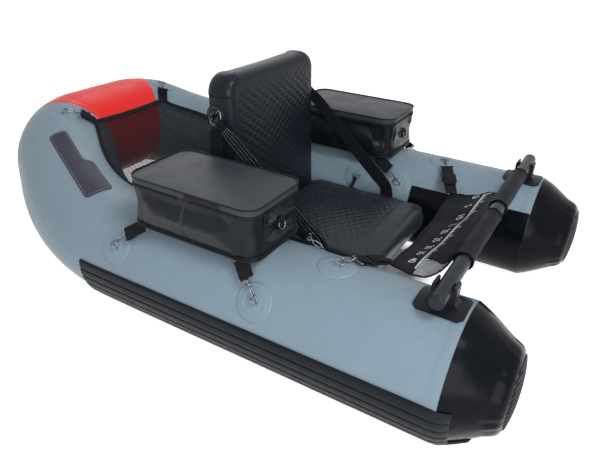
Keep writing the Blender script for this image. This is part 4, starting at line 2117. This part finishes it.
CLOTH_THICKNESS = 0.0012
APRON_FAN = 0.0022
APRON_PULL = 0.0010
APRON_SWELL = 0.0020
HEM_INSET = 0.006
APRON_HEM_WIDTH = 0.014
SLEEVE_LOOSE = 0.0020
SLEEVE_SWELL = 0.0012
SLEEVE_TWIST = 0.0007
SLEEVE_MOUTH = 0.0022
SLEEVE_FLAT = 0.004
SLEEVE_LEAST = 0.0008
MOUTH_LIFT = 0.0040
MOUTH_RADIUS = 0.0016
SLEEVE_STEPS = 60
SLEEVE_SIDES = 48
COLLAR_HALF = 0.020
COLLAR_SLOPE = 0.0015
COLLAR_HEIGHT = 0.0012
BAR_SIDES = 48
HEM_SIDE_STEPS = 14
HEM_REAR_STEPS = 40


def make_bar():
    """The bar with its end caps, and the collar between the two sleeves."""
    bm = bmesh.new()
    half = BAR_HALF_LENGTH
    rim = BAR_RADIUS + GAP
    cap = [
        (0.002, half + BAR_CAP_LENGTH), (rim - 0.006, half + BAR_CAP_LENGTH),
        (rim - 0.003, half + BAR_CAP_LENGTH - 0.0006), (rim - 0.0008, half + BAR_CAP_LENGTH - 0.003),
        (rim, half + BAR_CAP_LENGTH - 0.006), (rim, half), (BAR_RADIUS, half - GAP),
    ]
    profile = [(radius, -x) for radius, x in cap]
    profile += [(BAR_RADIUS, x) for x in spread(-half * 0.98, half * 0.98, 12)]
    profile += list(reversed(cap))
    add_turned(bm, bar_origin(), X_AXIS, profile, BAR_SIDES)
    foot, top = BAR_RADIUS * 0.99, BAR_RADIUS + COLLAR_HEIGHT
    shoulder = COLLAR_HALF - COLLAR_SLOPE
    collar = ((foot, -COLLAR_HALF), (top, -shoulder), (top, shoulder), (foot, COLLAR_HALF))
    add_turned(bm, bar_origin() + X_AXIS * APRON_CENTRE_X, X_AXIS, collar, BAR_SIDES)
    dress("bar_tube", bm, "bar", "crossbar", ["crossbar"], smooth_deg=40)


def apron_skin(u, v):
    """The apron's cloth with its finer creases, which fan out from the sleeves and the straps."""
    point = apron_point(u, v)
    fan = math.sin(9 * u + 2.6 * v + 1.1) * math.sin(math.pi * min(1, v * 1.1))
    pull = hump(abs(u), 0.96, 0.22) * math.sin(24 * (v + 0.35 * abs(u)))
    crease = APRON_FAN * fan + APRON_PULL * pull + APRON_SWELL * rough_noise(u * 5, v * 3, 2.0) * v
    return point + Z_AXIS * crease * (1 - hump(v, 0.0, 0.10))


def make_apron_cloth():
    """The lap apron with its bound edge, stitches and prints, all of which stretch as the bar lifts."""
    columns, rows = 72, 30
    bm = skin_of([
        [apron_skin(2 * c / columns - 1, r / rows) for c in range(columns + 1)] for r in range(rows + 1)
    ])
    width = (apron_point(1, 0.5) - apron_point(-1, 0.5)).length
    length = middle_run(apron_skin)
    area = min(width * length, sum(face.calc_area() for face in bm.faces))
    cloth = dress("apron_sheet", bm, "apron", None, ["apron"], smooth_deg=0)
    hem, stitches = bmesh.new(), bmesh.new()
    edge = [(-1, v) for v in spread(0.0, 1.0, HEM_SIDE_STEPS)]
    edge += [(u, 1) for u in spread(-1.0, 1.0, HEM_REAR_STEPS)[1:-1]]
    edge += [(1, v) for v in spread(1.0, 0.0, HEM_SIDE_STEPS)]
    line = [apron_skin(u, v) for u, v in edge]
    inward = [
        (apron_skin(u * 0.97, min(v, 0.95)) - point).normalized() for (u, v), point in zip(edge, line)
    ]
    path = [point + way * HEM_INSET for point, way in zip(line, inward)]
    add_strap(hem, path, inward, APRON_HEM_WIDTH, 0.0020)
    for reach in (0.0025, 0.0105):
        row = [point + way * reach for point, way in zip(line, inward)]
        add_stitches(stitches, row, Z_AXIS, 0.004, 0.002, 0.0005)
    for vert in stitches.verts:
        vert.co.z += 0.0009
    bound = dress("apron_hem", hem, "webbing", None, smooth_deg=50)
    seams = dress("apron_stitches", stitches, "thread", None)
    prints = make_ruler()
    add_thickness(cloth, CLOTH_THICKNESS)
    for piece in (cloth, bound, seams, *prints):
        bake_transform(piece)


RULER_LEFT = Vector((0.160, -0.674, 0))
RULER_RIGHT = Vector((-0.275, -0.622, 0))
RULER_BOW = 0.004
RULER_STEPS = 120
RULER_HALF = 0.0016
TICK_HALF = 0.0017
LONG_TICK = 0.018
SHORT_TICK = 0.009
NUMBER_EVERY = 5
PRINT_LIFT = 0.0014
PATCH_PRINT_LIFT = 0.0018
NUMBER_SIZE = 0.027
NUMBER_OFFSET = 0.014


def apron_place(x, y):
    """The cloth's own coordinates of a place seen from above."""
    start_y = BAR_Y + apron_front() + GAP
    v = (y - start_y) / (APRON_REAR_Y - start_y)
    half = APRON_HALF_WIDTH + (APRON_REAR_HALF_WIDTH - APRON_HALF_WIDTH) * v
    reach = x - APRON_CENTRE_X - (APRON_REAR_CENTRE_X - APRON_CENTRE_X) * v
    if reach > 0:
        return reach / (half - apron_cut(v)), v
    swell = APRON_RIGHT_SWELL * math.sin(math.pi * v)
    return (half - math.sqrt(half ** 2 - 4 * swell * reach)) / (2 * swell), v


def ruler_line():
    """Places along the ruler seen from above, with the distance along the cloth to each of them."""
    places, lengths, last = [], [0.0], None
    for k in range(RULER_STEPS + 1):
        share = k / RULER_STEPS
        place = RULER_LEFT.lerp(RULER_RIGHT, share) + Y_AXIS * RULER_BOW * math.sin(math.pi * share)
        point = apron_skin(*apron_place(place.x, place.y))
        if last is not None:
            lengths.append(lengths[-1] + (point - last).length)
        places.append(place)
        last = point
    return places, lengths


def ruler_spot(line, along, offset):
    """A point on the apron: metres along the ruler from its zero, and an offset towards the angler."""
    places, lengths = line
    k = min(RULER_STEPS - 1, max(0, bisect.bisect(lengths, along) - 1))
    share = (along - lengths[k]) / (lengths[k + 1] - lengths[k])
    place = places[k].lerp(places[k + 1], share)
    return apron_skin(*apron_place(place.x, place.y + offset)) + Z_AXIS * PRINT_LIFT


def make_ruler():
    """A plain printed rule, true to a centimetre, numbered every five, and a pale patch beside its end."""
    bm = bmesh.new()
    line = ruler_line()
    last = int(line[1][-1] * 100)
    stops = spread(0.0, last / 100, RULER_STEPS)
    grid_skin(bm, [[ruler_spot(line, along, y) for y in (-RULER_HALF, RULER_HALF)] for along in stops])
    for centimetre in range(last + 1):
        numbered = centimetre % NUMBER_EVERY == 0
        reaches = spread(0.0, LONG_TICK if numbered else SHORT_TICK, 4)
        along = centimetre / 100
        grid_skin(bm, [[ruler_spot(line, along + x, -y) for x in (-TICK_HALF, TICK_HALF)] for y in reaches])
        if numbered:
            add_number(bm, str(centimetre), line, along)
    rule = dress("apron_ruler", bm, "print", None, smooth_deg=0, tidy=False)
    patch = bmesh.new()
    rows = []
    for v in spread(0.10, 0.56, 24):
        inner = -0.93 + 0.13 * smooth_step(v, 0.10, 0.44)
        rows.append([apron_skin(u, v) + Z_AXIS * PATCH_PRINT_LIFT for u in spread(-0.99, inner, 12)])
    grid_skin(patch, rows)
    pale = dress("apron_pale_patch", patch, "pale", None, smooth_deg=0)
    return [rule, pale]


def add_number(bm, words, line, along):
    """A printed number, read by someone in the seat who looks forward."""
    curve = bpy.data.curves.new("number", "FONT")
    curve.body = words
    curve.size = NUMBER_SIZE
    curve.align_x = "CENTER"
    text = bpy.data.objects.new("number", curve)
    bpy.context.scene.collection.objects.link(text)
    shape = text.evaluated_get(bpy.context.evaluated_depsgraph_get()).to_mesh()
    cut = bmesh.new()
    cut.from_mesh(shape)
    bmesh.ops.subdivide_edges(cut, edges=cut.edges[:], cuts=1)
    made = {}
    for vert in cut.verts:
        offset = NUMBER_OFFSET + NUMBER_SIZE * 0.7 - vert.co.y
        made[vert] = bm.verts.new(ruler_spot(line, along + vert.co.x, offset))
    for face in cut.faces:
        bm.faces.new([made[vert] for vert in face.verts])
    cut.free()
    bpy.data.objects.remove(text)
    bpy.data.curves.remove(curve)


def make_cloth_sleeve(side, name):
    """A cloth sleeve, wrinkled round the bar, with a bound mouth at each end."""
    inner = BAR_RADIUS + GAP * 2
    start = APRON_CENTRE_X + side * SLEEVE_GAP / 2
    end = APRON_CENTRE_X + side * APRON_HALF_WIDTH
    rows = []
    seed = 5.0 * side
    for share in spread(0.0, 1.0, SLEEVE_STEPS):
        x = start + (end - start) * share
        ring = []
        for turn in turns_round(SLEEVE_SIDES):
            swell = rough_noise(x * 16 + seed, math.cos(turn) * 1.6, math.sin(turn) * 1.6)
            twist = SLEEVE_TWIST * math.sin(x * 40 + 3 * turn + seed) * math.sin(math.pi * share)
            mouth = SLEEVE_MOUTH * (hump(share, 0.0, 0.03) + hump(share, 1.0, 0.03))
            flat = SLEEVE_FLAT * hump(turn / math.pi, 0.0, 0.25)
            loose = SLEEVE_LOOSE + SLEEVE_SWELL * swell
            reach = inner + max(SLEEVE_LEAST, loose + twist + mouth * 0.6 + flat)
            ring.append(Vector((x, BAR_Y + math.cos(turn) * reach, BAR_Z + math.sin(turn) * reach)))
        rows.append(ring)
    bm = skin_of(rows, around=True)
    sleeve = dress(
        f"{name}_sleeve_cloth", bm, "apron", "crossbar", [f"{name}_apron_sleeve"],
        smooth_deg=0)
    add_thickness(sleeve, CLOTH_THICKNESS)
    hem = bmesh.new()
    for x in (start, end):
        ring = disc_points(Vector((x, BAR_Y, BAR_Z)), Y_AXIS, Z_AXIS, inner + MOUTH_LIFT, 40)
        add_wire(hem, ring, MOUTH_RADIUS, sides=8)
    dress(f"{name}_sleeve_mouths", hem, "webbing", "crossbar", smooth_deg=0)


BUCKLE_RAIL = 0.0022
BUCKLE_BAR = 0.0020
BUCKLE_BAR_SHARES = (-1.0, -0.36, 0.0, 0.36, 1.0)
TAIL_SPOTS = ((-0.014, 0.0032), (0.004, 0.0060), (0.022, 0.0052), (0.040, 0.0030))
WEB_STITCH_BACK = 0.012
WEB_STITCH_HALF = 0.010


def make_apron_strap(side, name, place):
    """The strap from a tube's ring to the apron's rear corner, with a ladder buckle and a loose tail."""
    edge = apron_point(side * APRON_WEB_SHARE, APRON_WEB_SHARE)
    end = edge + Z_AXIS * (APRON_THICKNESS + 3 * WEB_THICKNESS)
    steel, web, buckle, stitches = (bmesh.new() for k in range(4))
    far, towards, level, face = add_chain(steel, side, place, end)
    points = soft_fold(far, towards, face, [end, far.lerp(end, 0.5)])
    add_strap(web, points, level, WEB_WIDTH, WEB_THICKNESS)
    centre = far.lerp(end, BUCKLE_PLACE_SHARE) + face * (BUCKLE_THICKNESS / 3)
    half_x, half_y = BUCKLE_WIDTH / 2, BUCKLE_LENGTH / 2
    for sign in (-1, 1):
        spot = centre + level * sign * (half_x - BUCKLE_RAIL)
        bar_box(buckle, spot, level, towards, face, (BUCKLE_RAIL, half_y, 0.0028), 0.0010)
    for share in BUCKLE_BAR_SHARES:
        spot = centre + towards * (half_y - 0.0024) * share
        bar_box(buckle, spot, level, towards, face, (half_x - 0.002, BUCKLE_BAR, 0.0022), 0.0008)
    tail = [centre + towards * y + face * z for y, z in TAIL_SPOTS]
    add_strap(web, smooth_line(tail, 5), level, WEB_WIDTH, WEB_THICKNESS)
    spot = end - towards * WEB_STITCH_BACK + face * WEB_THICKNESS
    half = level * WEB_STITCH_HALF
    add_stitches(stitches, [spot - half, spot + half], face)
    node = f"{name}_apron_tether"
    dress(f"{name}_apron_steel", steel, "steel", "hull", [node], smooth_deg=0)
    dress(f"{name}_apron_web", web, "webbing", "hull", [node], smooth_deg=50)
    dress(f"{name}_apron_buckle", buckle, "plastic", "hull", [node], smooth_deg=40)
    dress(f"{name}_apron_web_stitches", stitches, "thread", "hull")


SEAT_VALVE_Y = -0.415
SEAT_VALVE_SINK = 0.003
SEAT_VALVE_SHARE = 0.60


def make_seat_valve():
    """The cushion's small closed valve on its right side near the front."""
    height = SEAT_BASE_Z + SEAT_THICKNESS * SEAT_VALVE_SHARE
    centre = Vector((-SEAT_HALF_WIDTH + SEAT_VALVE_SINK, SEAT_VALVE_Y, height))
    bm = bmesh.new()
    add_turned(bm, centre, -X_AXIS, (
        (0.020, -0.002), (0.020, 0.001), (0.019, 0.002), (0.0135, 0.002), (0.013, 0.007), (0.011, 0.0085),
        (0.001, 0.0085),
    ), 32)
    dress("cushion_valve", bm, "valve", "hull", smooth_deg=35)


# Scene

FLOOR_SHADE = 0.80
FLOOR_RAISE = 0.80
WORLD_LIGHT = 0.32
# For x and y: the middle of the shaded floor, and how far from it the shade starts to fade and ends
WELL_SHADE = ((0.0, 0.30, 0.36), (0.08, 0.57, 0.64))
FLOOR_REACH = 30.0
# Each lamp's name, place, aim, size in metres and power in watts
LIGHTS = (
    ("key", (-0.9, -2.2, 3.4), (0, 0, 0.2), 1.1, 68),
    ("fill", (-3.0, -2.5, 1.2), (0, 0, 0.2), 2.6, 100),
    ("rim", (1.9, 2.2, 3.0), (0, 0, 0.3), 1.6, 14),
)


def make_all():
    """Every piece of the boat, in a fixed order."""
    stitches, webs = bmesh.new(), bmesh.new()
    places = {place.use: place for place in ring_places()}
    for name, side in SIDES.items():
        make_grey_tube(side, name)
        make_nose(side, name)
        make_nose_ribs(side, name)
        strake = rib_heights(STRAKE_TOP_DEG, STRAKE_END_DEG, STRAKE_RIBS)
        keel = keel_heights()
        make_ribbed_strip(side, f"{name}_strake_rubber", strake, STRAKE_NOSE_OVERLAP, f"{name}_rub_strake")
        make_ribbed_strip(side, f"{name}_keel_rubber", keel, KEEL_NOSE_OVERLAP, f"{name}_keel_strip")
        make_chafe_skin(side, name)
        make_hull_fittings(side, name)
        seats = []
        for use in [use for use in places if use.endswith("bag")]:
            steel = bmesh.new()
            seats.append((places[use], add_chain(steel, side, places[use], bag_corner(side, places[use]))))
            node = f"{name}_{use}_clip"
            dress(f"{node}_steel", steel, "steel", "hull", [node], smooth_deg=0)
        make_bag_base(side, name, seats)
        make_bag(side, name)
        make_free_ring(side, name)
        make_side_ring_wire(side, name)
        make_seat_webbing(side, name)
        make_tether_web(side, name, places["seat"])
        make_cloth_sleeve(side, name)
        make_apron_strap(side, name, places["apron"])
        steel = bmesh.new()
        seat = add_chain(steel, side, places["mesh"], mesh_aim(side, places["mesh"]))
        dress(f"{name}_mesh_steel", steel, "steel", "hull", [f"{name}_mesh_clip"], smooth_deg=0)
        add_corner_web(webs, stitches, seat, mesh_web_path(side, places["mesh"]))
    make_red_panel()
    make_badge_skin()
    make_sling_cloth()
    make_padded_seat()
    make_back_fittings()
    make_seat_valve()
    make_net()
    make_hem(webs, stitches)
    make_bar()
    make_apron_cloth()


make_all()
for node in ("left_bar_saddle", "right_bar_saddle"):
    paint(node, "plastic")


def seen_plainly(tree):
    """1 for what the camera sees and what metal and glass show, 0 for light that falls on the boat."""
    rays = tree.nodes.new("ShaderNodeLightPath").outputs
    shown = math_node(tree, "MAXIMUM", rays["Is Camera Ray"], rays["Is Glossy Ray"])
    return math_node(tree, "MAXIMUM", shown, rays["Is Transmission Ray"])


def floor_material():
    """A matt pale floor, raised to white where it is seen, which keeps the boat's shadow.

    Inside WELL_SHADE, under the seat and the net, where the boat shuts out the light, it isn't raised.
    """
    made = bpy.data.materials.new("pale_floor")
    made.use_nodes = True
    tree = made.node_tree
    shader = tree.nodes["Principled BSDF"]
    shader.inputs["Base Color"].default_value = (FLOOR_SHADE, FLOOR_SHADE, FLOOR_SHADE, 1)
    shader.inputs["Roughness"].default_value = 1.0
    shader.inputs["Specular IOR Level"].default_value = 0.0
    shader.inputs["Emission Color"].default_value = (1, 1, 1, 1)
    place = tree.nodes.new("ShaderNodeSeparateXYZ")
    tree.links.new(tree.nodes.new("ShaderNodeTexCoord").outputs["Object"], place.inputs[0])
    outside = []
    for axis, (middle, low, high) in enumerate(WELL_SHADE):
        reach = math_node(tree, "ABSOLUTE", math_node(tree, "SUBTRACT", place.outputs[axis], middle))
        outside.append(range_node(tree, reach, 0.0, 1.0, low, high))
    raised = math_node(tree, "MULTIPLY", seen_plainly(tree), math_node(tree, "MAXIMUM", *outside))
    raised = math_node(tree, "MULTIPLY", raised, FLOOR_RAISE)
    tree.links.new(raised, shader.inputs["Emission Strength"])
    return made


def make_stage():
    """The white floor and the world around it."""
    floor_mesh = bpy.data.meshes.new("floor")
    corners = [(x * FLOOR_REACH, y * FLOOR_REACH, 0) for x, y in ((-1, -1), (1, -1), (1, 1), (-1, 1))]
    floor_mesh.from_pydata(corners, [], [(0, 1, 2, 3)])
    floor = bpy.data.objects.new("floor", floor_mesh)
    floor_mesh.materials.append(floor_material())
    bpy.context.scene.collection.objects.link(floor)
    world = bpy.data.worlds.new("studio")
    world.use_nodes = True
    bpy.context.scene.world = world
    tree = world.node_tree
    background = tree.nodes["Background"]
    background.inputs["Color"].default_value = (1, 1, 1, 1)
    strength = range_node(tree, seen_plainly(tree), WORLD_LIGHT, 1.0, 0.0, 1.0)
    tree.links.new(strength, background.inputs["Strength"])


def add_light(name, location, target, size, power):
    data = bpy.data.lights.new(name, "AREA")
    data.shape = "RECTANGLE"
    data.size = size
    data.size_y = size
    data.energy = power
    lamp = bpy.data.objects.new(name, data)
    bpy.context.scene.collection.objects.link(lamp)
    lamp.location = location
    lamp.rotation_euler = (Vector(target) - Vector(location)).to_track_quat("-Z", "Y").to_euler()


CAMERA_PLACE = Vector((-1.4216, -0.9608, 1.0684))
CAMERA_AZIMUTH_DEG = -59.559
CAMERA_PITCH_DEG = 29.730
CAMERA_ROLL_DEG = 1.387
CAMERA_LENS = 32.98
CAMERA_SENSOR = 36


def make_camera():
    """The photo's camera, as solved from the boat's own outline."""
    azimuth = math.radians(CAMERA_AZIMUTH_DEG)
    pitch = math.radians(CAMERA_PITCH_DEG)
    roll = math.radians(CAMERA_ROLL_DEG)
    right = Vector((math.cos(azimuth), math.sin(azimuth), 0))
    back = Vector((
        math.sin(azimuth) * math.cos(pitch), -math.cos(azimuth) * math.cos(pitch), math.sin(pitch)))
    up = back.cross(right)
    right_rolled = right * math.cos(roll) + up * math.sin(roll)
    up_rolled = up * math.cos(roll) - right * math.sin(roll)
    data = bpy.data.cameras.new("camera")
    data.lens = CAMERA_LENS
    data.sensor_width = CAMERA_SENSOR
    camera = bpy.data.objects.new("camera", data)
    camera.matrix_world = frame_matrix(CAMERA_PLACE, right_rolled, up_rolled, back)
    bpy.context.scene.collection.objects.link(camera)
    bpy.context.scene.camera = camera


make_stage()
for lamp in LIGHTS:
    add_light(*lamp)
make_camera()
bpy.context.scene.view_settings.view_transform = "Standard"
